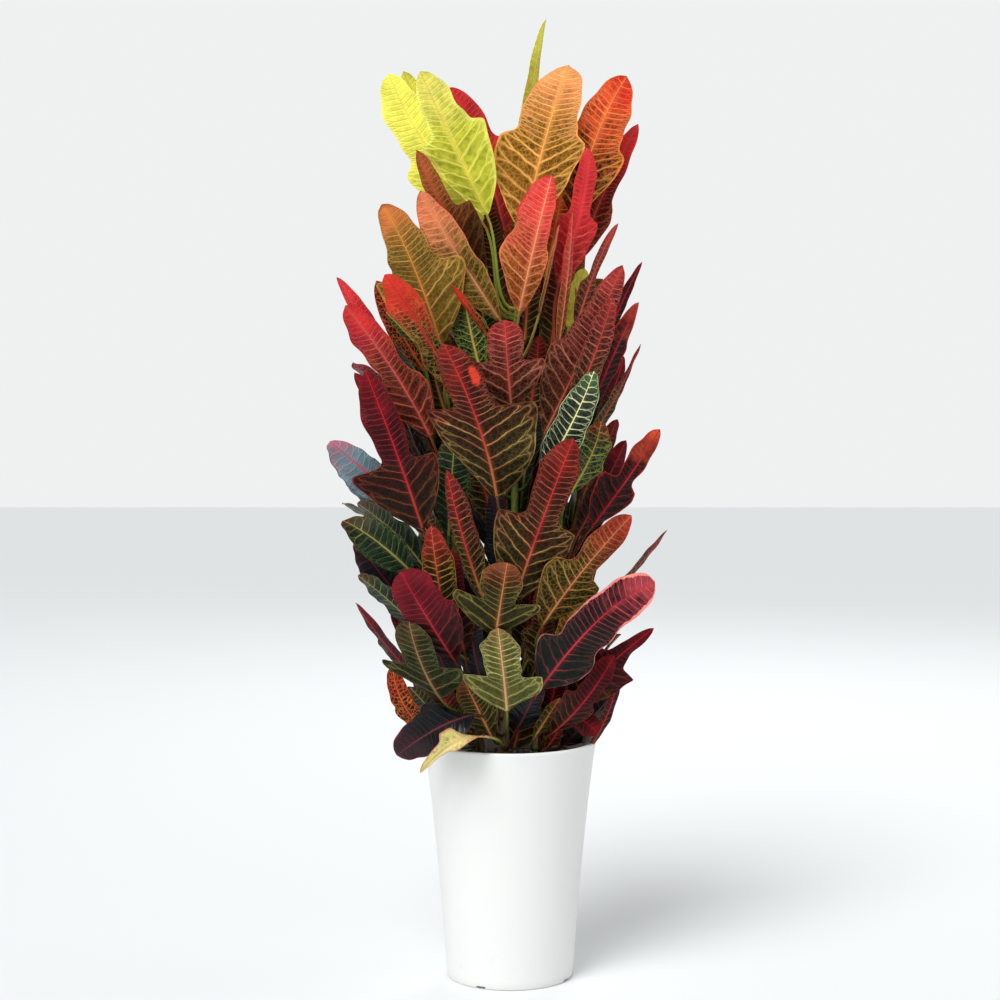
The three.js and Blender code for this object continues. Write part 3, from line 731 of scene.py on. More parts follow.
# Leaf finishes. In the first line of each: where along the blade the tip colour starts, the gloss
# and the LEAF_VALUES. Below it: the LEAF_COLOURS, as screen values from 0 to 255.
LEAF_COLOURS = ("Base", "Tip", "Deep", "Base vein", "Tip vein", "Midrib", "Margin", "Stalk", "End")
LEAF_VALUES = ("Vein width", "Glow", "Patches", "Net", "Margin width", "Margin growth", "End share")
LEAF_FINISHES = {
    "yellow": (0.66, 0, 1.35, 0.62, 0.8, 0.16, 0.13, 0, 0.3,
        (206, 204, 62), (250, 236, 106), (146, 158, 34), (238, 238, 96), (250, 242, 128), (246, 222, 90),
        (248, 246, 122), (166, 182, 76), (250, 236, 106)),
    # a brighter, more even copy of the yellow finish: light painted in for yellow leaves that lie in shade
    "lemon": (0.5, 0, 1.1, 0.5, 0.55, 0.1, 0.1, 0, 0.3,
        (224, 222, 74), (244, 238, 92), (150, 168, 44), (248, 246, 110), (252, 248, 120), (246, 228, 92),
        (244, 240, 104), (166, 182, 76), (244, 238, 92)),
    "orange": (0.66, 0, 1.35, 0.34, 0.9, 0.26, 0.06, 0, 0.6,
        (140, 92, 24), (234, 134, 70), (96, 60, 10), (250, 186, 96), (254, 206, 140), (250, 168, 88),
        (232, 150, 80), (180, 136, 58), (246, 156, 92)),
    "bronze": (0.93, 0, 1.1, 0.2, 0.6, 0.22, 0.05, 0, 0.7,
        (106, 84, 30), (208, 118, 58), (72, 58, 16), (202, 152, 78), (236, 152, 90), (214, 136, 62),
        (150, 84, 38), (140, 126, 58), (212, 114, 62)),
    "scarlet": (0.35, 0.06, 1.0, 0.3, 0.6, 0.16, 0.05, 0, 0.3,
        (166, 28, 30), (210, 36, 40), (100, 12, 16), (234, 100, 84), (238, 84, 82), (236, 62, 76),
        (224, 36, 44), (160, 80, 50), (210, 36, 40)),
    "ruby": (0.62, 0.04, 1.1, 0.26, 0.7, 0.2, 0.05, 0, 0.9,
        (96, 32, 18), (190, 30, 44), (52, 10, 10), (206, 104, 72), (224, 86, 92), (226, 92, 88),
        (196, 40, 40), (150, 80, 50), (238, 52, 44)),
    "red": (0.52, 0, 1.45, 0.26, 0.95, 0.22, 0.06, 0, 0.8,
        (100, 48, 12), (226, 78, 40), (52, 22, 4), (246, 168, 80), (252, 150, 90), (248, 140, 76),
        (212, 120, 50), (170, 104, 48), (220, 36, 34)),
    "pink": (0.54, 0, 1.2, 0.24, 0.8, 0.24, 0.06, 0, 0.5,
        (144, 74, 24), (216, 60, 56), (112, 42, 16), (238, 152, 98), (240, 126, 106), (244, 150, 108),
        (206, 46, 48), (176, 140, 80), (222, 40, 44)),
    "salmon": (0.66, 0, 1.0, 0.32, 0.85, 0.32, 0.07, 0, 0.5,
        (98, 84, 26), (228, 126, 74), (52, 48, 10), (190, 140, 76), (248, 158, 124), (228, 150, 106),
        (228, 104, 74), (166, 146, 80), (236, 124, 90)),
    "crimson": (0.42, 0.025, 0.8, 0.12, 0.65, 0.06, 0.035, 0, 0.5,
        (30, 16, 9), (54, 9, 14), (14, 5, 4), (150, 88, 50), (146, 34, 44), (184, 30, 46), (136, 28, 34),
        (104, 60, 38), (150, 20, 32)),
    "maroon": (0.5, 0.015, 0.85, 0.12, 0.65, 0.07, 0.03, 0, 0.45,
        (40, 32, 10), (56, 19, 13), (14, 8, 3), (194, 160, 92), (190, 98, 74), (196, 48, 52), (112, 50, 30),
        (104, 96, 46), (156, 28, 28)),
    "olive": (0.8, 0.02, 0.8, 0.15, 0.6, 0.07, 0.03, 0, 0.4,
        (40, 40, 14), (70, 36, 18), (20, 20, 5), (156, 140, 74), (206, 104, 66), (206, 122, 76),
        (150, 124, 70), (84, 100, 44), (164, 84, 52)),
    "mahogany": (0.45, 0, 0.95, 0.14, 0.85, 0.14, 0.03, 0, 0.4,
        (66, 34, 18), (90, 30, 24), (34, 12, 6), (206, 140, 106), (212, 124, 106), (196, 70, 62),
        (166, 60, 48), (120, 70, 46), (190, 40, 46)),
    "amber": (0.62, 0, 1.0, 0.14, 0.7, 0.26, 0.04, 0, 0.5,
        (56, 46, 16), (104, 38, 26), (28, 20, 5), (188, 150, 76), (212, 112, 76), (210, 124, 80),
        (190, 76, 52), (120, 110, 50), (206, 60, 48)),
    "russet": (0.5, 0, 0.9, 0.2, 0.7, 0.24, 0.04, 0, 0.4,
        (58, 34, 16), (142, 68, 36), (36, 18, 7), (120, 76, 40), (190, 132, 66), (200, 84, 60),
        (128, 44, 32), (110, 70, 40), (176, 74, 44)),
    "sage": (1.0, 0.015, 0.8, 0.16, 0.5, 0.08, 0.03, 0, 0.15,
        (78, 80, 32), (96, 66, 38), (38, 44, 12), (204, 196, 128), (220, 150, 112), (216, 154, 114),
        (128, 112, 66), (110, 120, 56), (150, 92, 66)),
    "fern": (1.0, 0.01, 0.8, 0.14, 0.6, 0.08, 0.03, 0, 0.2,
        (36, 40, 18), (52, 38, 22), (20, 24, 8), (120, 116, 74), (150, 104, 74), (158, 112, 80),
        (96, 84, 50), (100, 110, 50), (110, 72, 50)),
    # painted sheen: the blue grey of the blade stands in for the reflection on a dark glossy leaf
    "silver": (0.3, 0.12, 0.6, 0.1, 0.4, 0.02, 0.03, 0, 0.5,
        (66, 84, 90), (108, 132, 142), (46, 60, 68), (120, 130, 136), (168, 180, 188), (224, 64, 104),
        (60, 44, 56), (120, 56, 60), (214, 60, 96)),
    "ember": (0.8, 0.04, 0.9, 0.14, 0.8, 0.12, 0.08, 0.1, 0.75,
        (26, 10, 8), (96, 14, 16), (10, 4, 4), (150, 40, 40), (208, 50, 44), (206, 36, 48), (216, 44, 40),
        (104, 50, 38), (238, 92, 58)),
    "green": (1.0, 0.08, 0.65, 0.08, 0.6, 0.06, 0.02, 0, 0.15,
        (10, 34, 17), (32, 22, 14), (4, 14, 7), (128, 148, 72), (190, 76, 54), (168, 156, 88), (150, 56, 48),
        (70, 100, 38), (150, 44, 38)),
    "glossy": (1.05, 0.08, 1.3, 0.04, 0.7, 0.04, 0.04, 0, 0.3,
        (4, 22, 12), (16, 22, 12), (1, 5, 3), (222, 230, 176), (244, 246, 206), (242, 238, 168),
        (150, 176, 96), (90, 124, 50), (70, 120, 60)),
    "netted": (0.86, 0.08, 0.8, 0.12, 0.6, 0.24, 0.03, 0, 0.25,
        (16, 40, 14), (60, 24, 14), (6, 18, 6), (184, 196, 84), (220, 96, 56), (200, 170, 84), (150, 90, 44),
        (90, 120, 46), (200, 70, 40)),
    "speckled": (0.62, 0.05, 0.9, 0.2, 0.95, 0.6, 0.07, 0, 0.8,
        (16, 38, 12), (204, 46, 30), (16, 26, 5), (190, 140, 60), (228, 78, 50), (214, 44, 44),
        (206, 58, 42), (86, 106, 42), (232, 56, 40)),
    "fishbone": (0.72, 0, 1.15, 0.12, 0.5, 0.05, 0.04, 0, 0.7,
        (34, 32, 10), (96, 26, 18), (16, 14, 4), (186, 146, 66), (196, 84, 62), (206, 92, 62), (140, 54, 36),
        (130, 110, 54), (176, 48, 44)),
    "mottled": (0.6, 0, 0.9, 0.12, 0.6, 0.8, 0.05, 0, 0.3,
        (46, 26, 10), (84, 32, 16), (24, 12, 5), (214, 116, 50), (216, 90, 50), (210, 90, 54), (180, 60, 40),
        (120, 80, 46), (84, 32, 16)),
    "black": (0.66, 0.12, 0.55, 0.08, 0.5, 0.03, 0.03, 0.03, 0.3,
        (17, 22, 26), (30, 22, 32), (7, 9, 12), (64, 56, 54), (92, 50, 58), (112, 42, 52), (142, 44, 52),
        (88, 50, 40), (92, 32, 42)),
    "slate": (0.52, 0.045, 0.95, 0.1, 0.6, 0.04, 0.035, 0.11, 0.45,
        (18, 26, 22), (32, 9, 15), (5, 6, 7), (112, 60, 56), (238, 92, 102), (214, 50, 70), (252, 150, 140),
        (130, 56, 48), (226, 90, 98)),
    "rose": (0.4, 0.03, 0.8, 0.16, 0.6, 0.05, 0.03, 0, 0.5,
        (36, 13, 11), (86, 13, 24), (22, 6, 9), (110, 46, 40), (146, 36, 50), (180, 36, 56), (140, 28, 42),
        (110, 50, 44), (142, 26, 40)),
    "cream": (0.3, 0, 1.0, 0.45, 1.0, 0.4, 0.12, 0, 0.3,
        (204, 126, 88), (244, 228, 136), (96, 118, 30), (232, 168, 126), (250, 238, 168), (240, 206, 140),
        (230, 138, 110), (176, 166, 90), (244, 228, 136)),
}


FLAT_UNIT = 100.0         # millimetres in one unit of the flat "blade" map
BROAD, MIDDLING, FINE = 38.0, 110.0, 420.0    # noises, in swings per metre

# The leaf pattern. Widths beside a vein are shares of the gap between two veins; places across
# the blade go from 0 at the midrib to 1 at the margin, and along it from 0 at its base to 1.
WANDER_BROAD, WANDER_MIDDLING = 0.5, 0.30
FORK_FROM, FORK_SPREAD = 0.60, 0.95
VEIN_WIDTH, VEIN_THINNING = 0.090, -0.058
END_LOBE, END_LOBE_VEINS = (0.3, 0.6), 1.45   # where it begins, and how much wider veins are there
VEIN_LUCK_WIDTH = (0.75, 0.62)                # from each vein's luck: slope and least
VEIN_LUCK_STRENGTH = (0.5, 0.5)
VEIN_FADING = (-0.35, 1.1)
VEIN_END = (0.97, 0.84)
ARCH_AT, ARCH_DIP = 0.80, 0.42
ARCH_EDGES, ARCH_STRENGTH = (0.028, 0.006), 0.32
NET_CELLS, NET_EDGES = 17.0, (0.10, 0.02)
RIB_WIDTHS, RIB_EDGES = (1.7, 0.5), (1.25, 0.6)    # millimetres at the base and the tip
VEIN_GLOW, RIB_GLOW = (0.22, 0.02), (6.0, 1.5)
RIPENING_SWING = 0.55
RIPENING_BEFORE, RIPENING_AFTER = 0.20, 0.22
PATCH_EDGES, PATCHES_RIPE = (0.36, 0.66), -0.35
MIDRIB_TINT = (0.45, 0.0, 0.0, 0.6)           # of the veins near the midrib
END_SWING_BROAD, END_SWING_MIDDLING = 0.6, 0.35
END_PLACE, END_ON_VEINS = (0.66, 1.04), -0.6
BLOT_COLOUR = colour(232, 70, 50)
BLOT_SWING, BLOT_EDGES, BLOT_STRENGTH = 0.8, (0.30, 0.70), 0.85
MARGIN_PLACE, MARGIN_SWING = (0.35, 1.0), (2.6, -0.2)
MARGIN_EDGE, MARGIN_STRENGTH, MARGIN_UNRIPE = 0.03, 0.9, 0.6
RIB_UNRIPE = (0.45, 0.05, 0.0, 0.5)
STALK_PLACE = (0.0, -0.04)
LIGHT_TONE, LIGHT_BROAD = (0.36, 0.44), 0.66
MATT, MATT_SWING = (0.16, 0.42), 0.18         # the under side is duller
VEIN_RAISE, UNDER_RAISE = 0.7, (1.6, -0.8)    # veins stand out below and lie in grooves above
RIPPLE, RIPPLE_UNDER, GRAIN = 0.4, 0.8, 0.10


def build_leaf_group():
    """The colour, roughness and height of a leaf, from its maps and attributes."""
    tree, w, given, out = new_group(
        "croton leaf", [(label, BLACK) for label in LEAF_COLOURS] + [(label, 0.0) for label in LEAF_VALUES],
        [("Colour", "NodeSocketColor"), ("Roughness", "NodeSocketFloat"), ("Height", "NodeSocketFloat")])
    share, ripe, tone, under, spot = (w.attribute(name) for name in ("share", "ripe", "tone", "under", "spot"))
    place = w.object_place()
    phase, t, _ = w.parts(w.node("ShaderNodeUVMap", uv_map="veins").outputs[0])
    t = w.size(t)
    flat = w.node("ShaderNodeUVMap", uv_map="blade").outputs[0]
    across = w.size(w.times(w.parts(flat)[1], FLAT_UNIT))

    broad = w.noise(place, BROAD, 2.0)
    middling = w.noise(place, MIDDLING, 3.0)
    fine = w.noise(place, FINE, 2.0)

    # side veins: lines of whole phase that fork past two thirds of the way out
    wandering = w.swing(broad, WANDER_BROAD, phase)
    wandering = w.swing(middling, WANDER_MIDDLING, wandering)
    part = w.math("FRACT", wandering)
    off_middle = w.size(w.minus(part, 0.5))
    near_vein = w.minus(0.5, off_middle)
    fork = w.times(w.larger(w.minus(t, FORK_FROM), 0.0), FORK_SPREAD)
    near_branch = w.size(w.minus(near_vein, fork))
    # they are thinner outwards, wider in the end lobe, and each has its own strength
    width = w.times(w.line(t, VEIN_THINNING, VEIN_WIDTH), given["Vein width"])
    width = w.times(width, w.fade(share, *END_LOBE, 1.0, END_LOBE_VEINS))
    luck = w.node("ShaderNodeTexWhiteNoise", noise_dimensions="1D")
    w.put(luck.inputs["W"], w.plus(w.math("ROUND", wandering), w.times(tone, 100.0)))
    strength = luck.outputs["Value"]
    width = w.times(width, w.line(strength, *VEIN_LUCK_WIDTH))
    main = w.fade(near_branch, width, w.times(width, 0.25))
    main = w.times(main, w.fade(t, *VEIN_END), w.line(strength, *VEIN_LUCK_STRENGTH), w.line(t, *VEIN_FADING))
    # arches that join the forks inside the margin, and a fine net between the veins
    arch = w.line(w.times(near_vein, w.rest(near_vein)), ARCH_DIP, ARCH_AT)
    loop = w.times(w.fade(w.size(w.minus(t, arch)), *ARCH_EDGES), ARCH_STRENGTH)
    mesh_lines = w.times(w.fade(w.cells(flat, NET_CELLS), *NET_EDGES), given["Net"])
    lines = w.larger(w.larger(main, loop), mesh_lines)
    # the midrib, and the glow beside all veins
    rib_width = w.fade(share, 0.0, 1.0, *RIB_WIDTHS)
    rib = w.fade(across, *(w.times(rib_width, edge) for edge in RIB_EDGES))
    glow = w.larger(w.fade(near_branch, *VEIN_GLOW), w.fade(across, *RIB_GLOW))

    # the blade ripens from its base to its end lobe, unevenly
    start = w.swing(broad, RIPENING_SWING, ripe)
    grown = w.fade(share, w.minus(start, RIPENING_BEFORE), w.plus(start, RIPENING_AFTER))
    ground = w.mix(grown, given["Base"], given["Tip"])
    dark = w.times(w.fade(middling, *PATCH_EDGES), w.rest(glow), given["Patches"],
                   w.line(grown, PATCHES_RIPE, 1.0))
    ground = w.mix(dark, ground, given["Deep"])
    line_colour = w.mix(grown, given["Base vein"], given["Tip vein"])
    line_colour = w.mix(w.fade(t, *MIDRIB_TINT), line_colour, given["Midrib"])
    ground = w.mix(w.times(glow, given["Glow"]), ground, line_colour)
    ground = w.mix(lines, ground, line_colour)
    # the end of the blade, the blot, the margin, the midrib and the petiole over that
    uneven = w.plus(w.times(w.minus(broad, 0.5), END_SWING_BROAD),
                    w.times(w.minus(middling, 0.5), END_SWING_MIDDLING))
    ends = w.times(w.fade(w.plus(share, uneven), *END_PLACE), given["End share"])
    ground = w.mix(w.times(ends, w.line(lines, END_ON_VEINS, 1.0)), ground, given["End"])
    blot = w.fade(w.swing(middling, BLOT_SWING, spot), *BLOT_EDGES)
    ground = w.mix(w.times(blot, BLOT_STRENGTH), ground, BLOT_COLOUR)
    grows = w.line(w.fade(share, *MARGIN_PLACE), given["Margin growth"], given["Margin width"])
    inner_margin = w.rest(w.times(grows, w.line(middling, *MARGIN_SWING)))
    rim = w.fade(t, inner_margin, w.plus(inner_margin, MARGIN_EDGE))
    rim_colour = w.mix(w.times(w.rest(grown), MARGIN_UNRIPE), given["Margin"], given["Base vein"])
    ground = w.mix(w.times(rim, MARGIN_STRENGTH), ground, rim_colour)
    rib_colour = w.mix(w.fade(share, *RIB_UNRIPE), given["Midrib"], given["Base vein"])
    ground = w.mix(rib, ground, rib_colour)
    ground = w.mix(w.fade(share, *STALK_PLACE), ground, given["Stalk"])
    # some leaves are darker than others, and each is uneven
    light = w.plus(w.line(tone, *LIGHT_TONE), w.times(broad, LIGHT_BROAD))
    shade = w.node("ShaderNodeCombineColor")
    for socket in shade.inputs[:3]:
        w.put(socket, light)
    ground = w.mix(1.0, ground, shade.outputs[0], "MULTIPLY")
    w.put(out["Colour"], ground)

    matt = w.line(under, *MATT)
    w.put(out["Roughness"], w.swing(middling, MATT_SWING, matt))
    raised = w.larger(w.times(lines, VEIN_RAISE), rib)
    way = w.line(under, *UNDER_RAISE)
    ripple = w.times(w.rest(glow), w.minus(RIPPLE, w.times(under, RIPPLE_UNDER)))
    height = w.plus(w.times(raised, way), w.plus(ripple, w.times(fine, GRAIN)))
    w.put(out["Height"], height)
    return tree


LEAF_GROUP = build_leaf_group()
LEAF_BUMP, LEAF_BUMP_STRENGTH = 0.0010, 0.9
LEAF_SHINE, GLOSS_SHINE = 0.05, 1.8      # of every leaf, and for each unit of gloss


def leaf_material(name, gloss, values, colours):
    """A leaf material: the leaf group with the values and colours of one finish."""
    settings = dict(zip(LEAF_VALUES, values))
    settings.update((label, colour(*shown)) for label, shown in zip(LEAF_COLOURS, colours))
    material, w, shader = new_material(f"leaf_{name}", settings["Tip"])
    pattern = w.node("ShaderNodeGroup", node_tree=LEAF_GROUP)
    for label, value in settings.items():
        pattern.inputs[label].default_value = value
    w.put(shader.inputs["Base Color"], pattern.outputs["Colour"])
    w.put(shader.inputs["Roughness"], w.minus(pattern.outputs["Roughness"], gloss))
    w.put(shader.inputs["Normal"], w.bump(pattern.outputs["Height"], LEAF_BUMP, LEAF_BUMP_STRENGTH))
    shader.inputs["Specular IOR Level"].default_value = LEAF_SHINE + GLOSS_SHINE * gloss
    return material


RIPENESS, LEAF_MATERIALS = {}, {}
for name, (ripe, gloss, *settings) in LEAF_FINISHES.items():
    RIPENESS[name] = ripe
    LEAF_MATERIALS[name] = leaf_material(
        name, gloss, settings[:len(LEAF_VALUES)], settings[len(LEAF_VALUES):])

# Leaves of their own finish.
# left_glossy and glossy_under get a blue-grey painted sheen in place of a reflection
# top_spire, top_yellow_back, yellow_bit and top_yellow_middle get the brighter yellow with painted light, as
# they lie in shade
SPECIAL = {
    "left_olive": "bronze", "left_green_red": "speckled", "right_pink_margin": "slate",
    "back_top_left": "bronze",
    "far_left_red": "ruby", "right_glossy_green": "glossy", "right_yellow_veined": "netted",
    "right_pink_strip": "amber", "fishbone_orange": "fishbone", "mottled_orange": "mottled",
    "right_pink_back": "ruby", "green_veined": "netted", "left_crimson_diagonal": "rose", "top_spire": "lemon",
    "top_yellow_back": "lemon", "low_left_green": "fern", "low_center_green": "sage", "left_glossy": "silver",
    "left_low_dark": "black", "right_forked": "ember", "right_crimson": "ember", "orange_sliver": "speckled",
    "yellow_bit": "lemon", "brown_lobe": "mottled", "maroon_top_left": "russet", "pale_bit": "netted",
    "glossy_under": "silver", "top_yellow_middle": "lemon", "right_big_maroon": "mahogany",
    "center_small": "mahogany", "right_fine_veined": "mahogany", "right_brown": "mahogany",
}

# Leaves darker or paler than their fellows, from 0 to 1.
TONES = {
    "low_left_green": 0.4, "low_center_green": 1.0, "right_pink_margin": 0.8, "left_olive": 1.0,
    "right_big_maroon": 0.9,
    "top_orange": 0.8, "top_right": 0.9, "front_pink": 0.8, "center_right_big": 0.8,
}


def pot_finish():
    """White moulded plastic: faint unevenness, scuffs near the foot and a little dust."""
    material, w, shader = new_material("pot_plastic", (0.86, 0.86, 0.85, 1), Coat_Weight=0.0)
    place = w.object_place()
    height = w.parts(place)[2]
    cloud = w.noise(place, 9.0, 3.0)
    speck = w.noise(place, 900.0, 1.0)
    scuff = w.times(w.fade(w.noise(place, 60.0, 6.0, 0.7), 0.56, 0.74), w.fade(height, 0.10, 0.0))
    tinted = w.mix(w.times(cloud, 0.5), colour(240, 240, 238), colour(232, 233, 232))
    dusty = w.mix(w.times(scuff, 0.15), tinted, colour(176, 170, 158))
    # darker towards the bottom: the lowest 12 mm are mixed a fifth of the way to grey beige
    foot = w.fade(height, 0.012, 0.0)
    w.put(shader.inputs["Base Color"], w.mix(w.times(foot, 0.2), dusty, colour(196, 192, 184)))
    rough = w.line(cloud, 0.12, 0.30)
    w.put(shader.inputs["Roughness"], w.plus(rough, w.times(scuff, 0.25)))
    w.put(shader.inputs["Normal"], w.bump(w.plus(w.times(cloud, 2.0), w.times(speck, 0.12)), 0.0006, 0.5))
    return material


def soil_finish():
    """Dark peaty compost with fibres and damp patches."""
    material, w, shader = new_material("compost", colour(58, 42, 30))
    place = w.object_place()
    grain = w.noise(place, 300.0, 8.0, 0.75)
    damp = w.noise(place, 26.0, 2.0)
    tone = w.mix(w.fade(grain, 0.35, 0.68), colour(30, 22, 16), colour(96, 72, 50))
    w.put(shader.inputs["Base Color"], w.mix(w.times(w.fade(damp, 0.45, 0.62), 0.6), tone, colour(34, 24, 18)))
    w.put(shader.inputs["Roughness"], w.fade(damp, 0.45, 0.62, 0.95, 0.6))
    w.put(shader.inputs["Normal"], w.bump(grain, 0.003, 0.9))
    return material


def perlite_finish():
    """White porous grains."""
    material, w, shader = new_material("perlite", colour(214, 208, 196))
    place = w.object_place()
    pores = w.noise(place, 700.0, 3.0)
    w.put(shader.inputs["Base Color"], w.mix(pores, colour(228, 224, 214), colour(170, 158, 140)))
    w.put(shader.inputs["Roughness"], w.blend(pores, 0.75, 0.95))
    w.put(shader.inputs["Normal"], w.bump(pores, 0.001, 0.8))
    return material


def bark_finish():
    """Grey-brown bark with cracks and scars below, green young wood above."""
    material, w, shader = new_material("bark", colour(110, 84, 56))
    place = w.object_place()
    height = w.parts(place)[2]
    stretch = w.node("ShaderNodeMapping")
    stretch.inputs["Scale"].default_value = (1.0, 1.0, 0.22)
    w.put(stretch.inputs["Vector"], place)
    streaks = w.noise(stretch.outputs[0], 520.0, 4.0, 0.65)
    patches = w.noise(place, 60.0, 3.0)
    old = w.mix(w.fade(streaks, 0.35, 0.65), colour(74, 54, 34), colour(150, 124, 90))
    old = w.mix(w.times(w.fade(patches, 0.5, 0.7), 0.5), old, colour(128, 118, 96))
    young = w.mix(w.fade(streaks, 0.3, 0.7), colour(96, 116, 40), colour(150, 150, 66))
    rise = w.plus(height, w.times(w.minus(patches, 0.5), 0.10))
    w.put(shader.inputs["Base Color"], w.mix(w.fade(rise, 0.42, 0.62), old, young))
    w.put(shader.inputs["Roughness"], w.blend(streaks, 0.6, 0.9))
    w.put(shader.inputs["Normal"], w.bump(w.plus(streaks, patches), 0.0012, 0.8))
    return material


# ---- pot, soil and stems ----
def pot_radius(z):
    """Outer radius of the pot at a height."""
    return POT_FOOT_RADIUS + POT_TAPER * z + POT_FLARE * (z / POT_HEIGHT) ** POT_FLARE_POWER


def extruded(name, path, sides):
    """A closed body of level round rings: a filled circle extruded, moved and resized along
    (x, y, z, radius) rows in millimetres; the last ring stays filled."""
    deselect()
    x, y, z, radius = path[0]
    bpy.ops.mesh.primitive_circle_add(vertices=sides, radius=radius * MM, fill_type="NGON",
                                      location=(x * MM, y * MM, z * MM))
    piece = bpy.context.object
    piece.name = piece.data.name = name
    place_in_mesh(piece)
    bpy.ops.object.mode_set(mode="EDIT")
    bpy.ops.mesh.select_all(action="SELECT")
    for before, after in zip(path, path[1:]):
        step = [(b - a) * MM for a, b in zip(before[:3], after[:3])]
        bpy.ops.mesh.extrude_region_move(TRANSFORM_OT_translate={"value": step})
        size = after[3] / before[3]
        bpy.ops.transform.resize(value=(size, size, 1), center_override=[c * MM for c in after[:3]])
    bpy.ops.mesh.select_all(action="SELECT")
    bpy.ops.mesh.normals_make_consistent(inside=False)
    bpy.ops.object.mode_set(mode="OBJECT")
    return piece


def cut(piece, cutter):
    """Cuts the cutter out of a piece and removes it."""
    hole = piece.modifiers.new("cut", "BOOLEAN")
    hole.operation, hole.solver, hole.object = "DIFFERENCE", "EXACT", cutter
    apply_all(piece)
    bpy.data.objects.remove(cutter)


def pot_piece():
    """The pot: its outside, its rolled lip and its inside in one body, with drain holes and notches."""
    outside = [(0, 0, 0, POT_FOOT_RADIUS - FOOT_BEVEL)]
    for turn in (30, 60, 90):
        lift = FOOT_BEVEL * (1 - math.cos(math.radians(turn)))
        outside.append((0, 0, lift, POT_FOOT_RADIUS - FOOT_BEVEL * (1 - math.sin(math.radians(turn)))))
    outside += [(0, 0, z, pot_radius(z)) for z in POT_RINGS]
    lip_at = POT_RIM_RADIUS - POT_LIP_RADIUS, POT_HEIGHT - POT_LIP_RADIUS
    lip = [(0, 0, lip_at[1] + POT_LIP_RADIUS * math.sin(turn), lip_at[0] + POT_LIP_RADIUS * math.cos(turn))
           for turn in np.radians(np.linspace(0, 180, LIP_STEPS))]
    inside = [(0, 0, z, pot_radius(z) - POT_WALL) for z in reversed(POT_RINGS)]
    inside.append((0, 0, POT_FLOOR, pot_radius(POT_FLOOR) - POT_WALL))
    inside.append((0, 0, POT_FLOOR, 0.5 * POT_FOOT_RADIUS))
    pot = extruded("pot_shell", outside + lip + inside, POT_SIDES)

    for i in range(DRAIN_HOLES):
        out = bearing(DRAIN_BEARING + i * 360 / DRAIN_HOLES)
        deselect()
        bpy.ops.mesh.primitive_cylinder_add(
            vertices=40, radius=DRAIN_HOLE_RADIUS * MM, depth=4 * POT_FLOOR * MM,
            location=(out[0] * DRAIN_HOLE_AT * MM, out[1] * DRAIN_HOLE_AT * MM, 0))
        cut(pot, bpy.context.object)
        run = POT_RIM_RADIUS - DRAIN_HOLE_AT
        middle = out * (DRAIN_HOLE_AT + run / 2)
        deselect()
        bpy.ops.mesh.primitive_cube_add(size=1, location=(middle[0] * MM, middle[1] * MM, 0),
                                        rotation=(0, 0, math.atan2(out[1], out[0])))
        notch = bpy.context.object
        notch.scale = (run * MM, DRAIN_NOTCH_WIDTH * MM, 2 * DRAIN_NOTCH_HEIGHT * MM)
        place_in_mesh(notch)
        cut(pot, notch)
    edges = pot.modifiers.new("edges", "BEVEL")
    edges.width, edges.segments = EDGE_BEVEL * MM, 2
    edges.limit_method, edges.angle_limit = "ANGLE", math.radians(50)
    apply_all(pot)
    smooth(pot, 40)
    return pot


def roughen(piece, amount, scale, seed, mask):
    """Moves the vertices by smooth noise, amount and scale in millimetres, where mask says."""
    luck = np.random.default_rng(seed)
    points = coordinates(piece.data) / MM
    shift = np.zeros(len(points))
    for octave in range(5):
        waves = luck.normal(size=(3, 3)) / scale * 1.8 ** octave
        shift += np.prod(np.sin(points @ waves * 2 + luck.uniform(0, 6, 3)), axis=1) / 1.5 ** octave
    normals = np.empty(3 * len(points))
    piece.data.vertices.foreach_get("normal", normals)
    normals = normals.reshape(-1, 3)
    set_coordinates(piece.data, (points + normals * (shift * amount * mask(points))[:, None]) * MM)


def soil_height(share):
    """Height of the soil at a share of its radius: it rises a little to the middle."""
    return SOIL_TOP + SOIL_CROWN * smoothstep(1 - share, 0, 0.45)


def at_soil_top(points):
    """1 on the upper side of the soil, 0 below it."""
    return smoothstep(points[:, 2], SOIL_TOP - 1, SOIL_TOP + 1.5)


def soil_piece():
    """The soil, a body that fills the pot up to its rough, slightly raised top."""
    def wall(z):
        return pot_radius(z) - POT_WALL - SOIL_WALL_GAP

    path = [(0, 0, z, wall(z)) for z in (SOIL_BOTTOM, 60, 130, 190, 235, SOIL_TOP - 3)]
    path.append((0, 0, SOIL_TOP - 0.5, wall(SOIL_TOP) - 1.0))
    edge = wall(SOIL_TOP) - 1.0
    for k in np.linspace(0.97, 0.03, SOIL_RINGS):
        path.append((0, 0, soil_height(k), edge * k))
    soil = extruded("soil_bed", path, SOIL_SIDES)
    roughen(soil, amount=1.3, scale=14, seed=3, mask=at_soil_top)
    roughen(soil, amount=0.7, scale=4.5, seed=4, mask=at_soil_top)
    smooth(soil, 50)
    return soil


def crumbs_piece(name, count, smallest, largest, seed):
    """Loose bits on the soil, each a small rough ball."""
    luck = np.random.default_rng(seed)
    bits = []
    for _ in range(count):
        turn, out = luck.uniform(0, 2 * math.pi), math.sqrt(luck.uniform(0, 1)) * CRUMB_REACH
        size = luck.uniform(smallest, largest)
        deselect()
        bpy.ops.mesh.primitive_ico_sphere_add(subdivisions=1, radius=size * MM)
        bit = bpy.context.object
        rough = coordinates(bit.data) * luck.uniform(0.6, 1.25, (12, 1)) * luck.uniform(0.6, 1.2, 3)
        lift = soil_height(out / SOIL_RADIUS) + CRUMB_LIFT * size
        set_coordinates(bit.data, rough + np.array([out * math.cos(turn), out * math.sin(turn), lift]) * MM)
        bits.append(bit)
    crumbs = join(bits, name)
    smooth(crumbs, 30)
    return crumbs


def on_old_wood(points):
    """1 on the old wood below, 0 on the smooth young wood above."""
    return smoothstep(-points[:, 2], -YOUNG_WOOD, -OLD_WOOD)


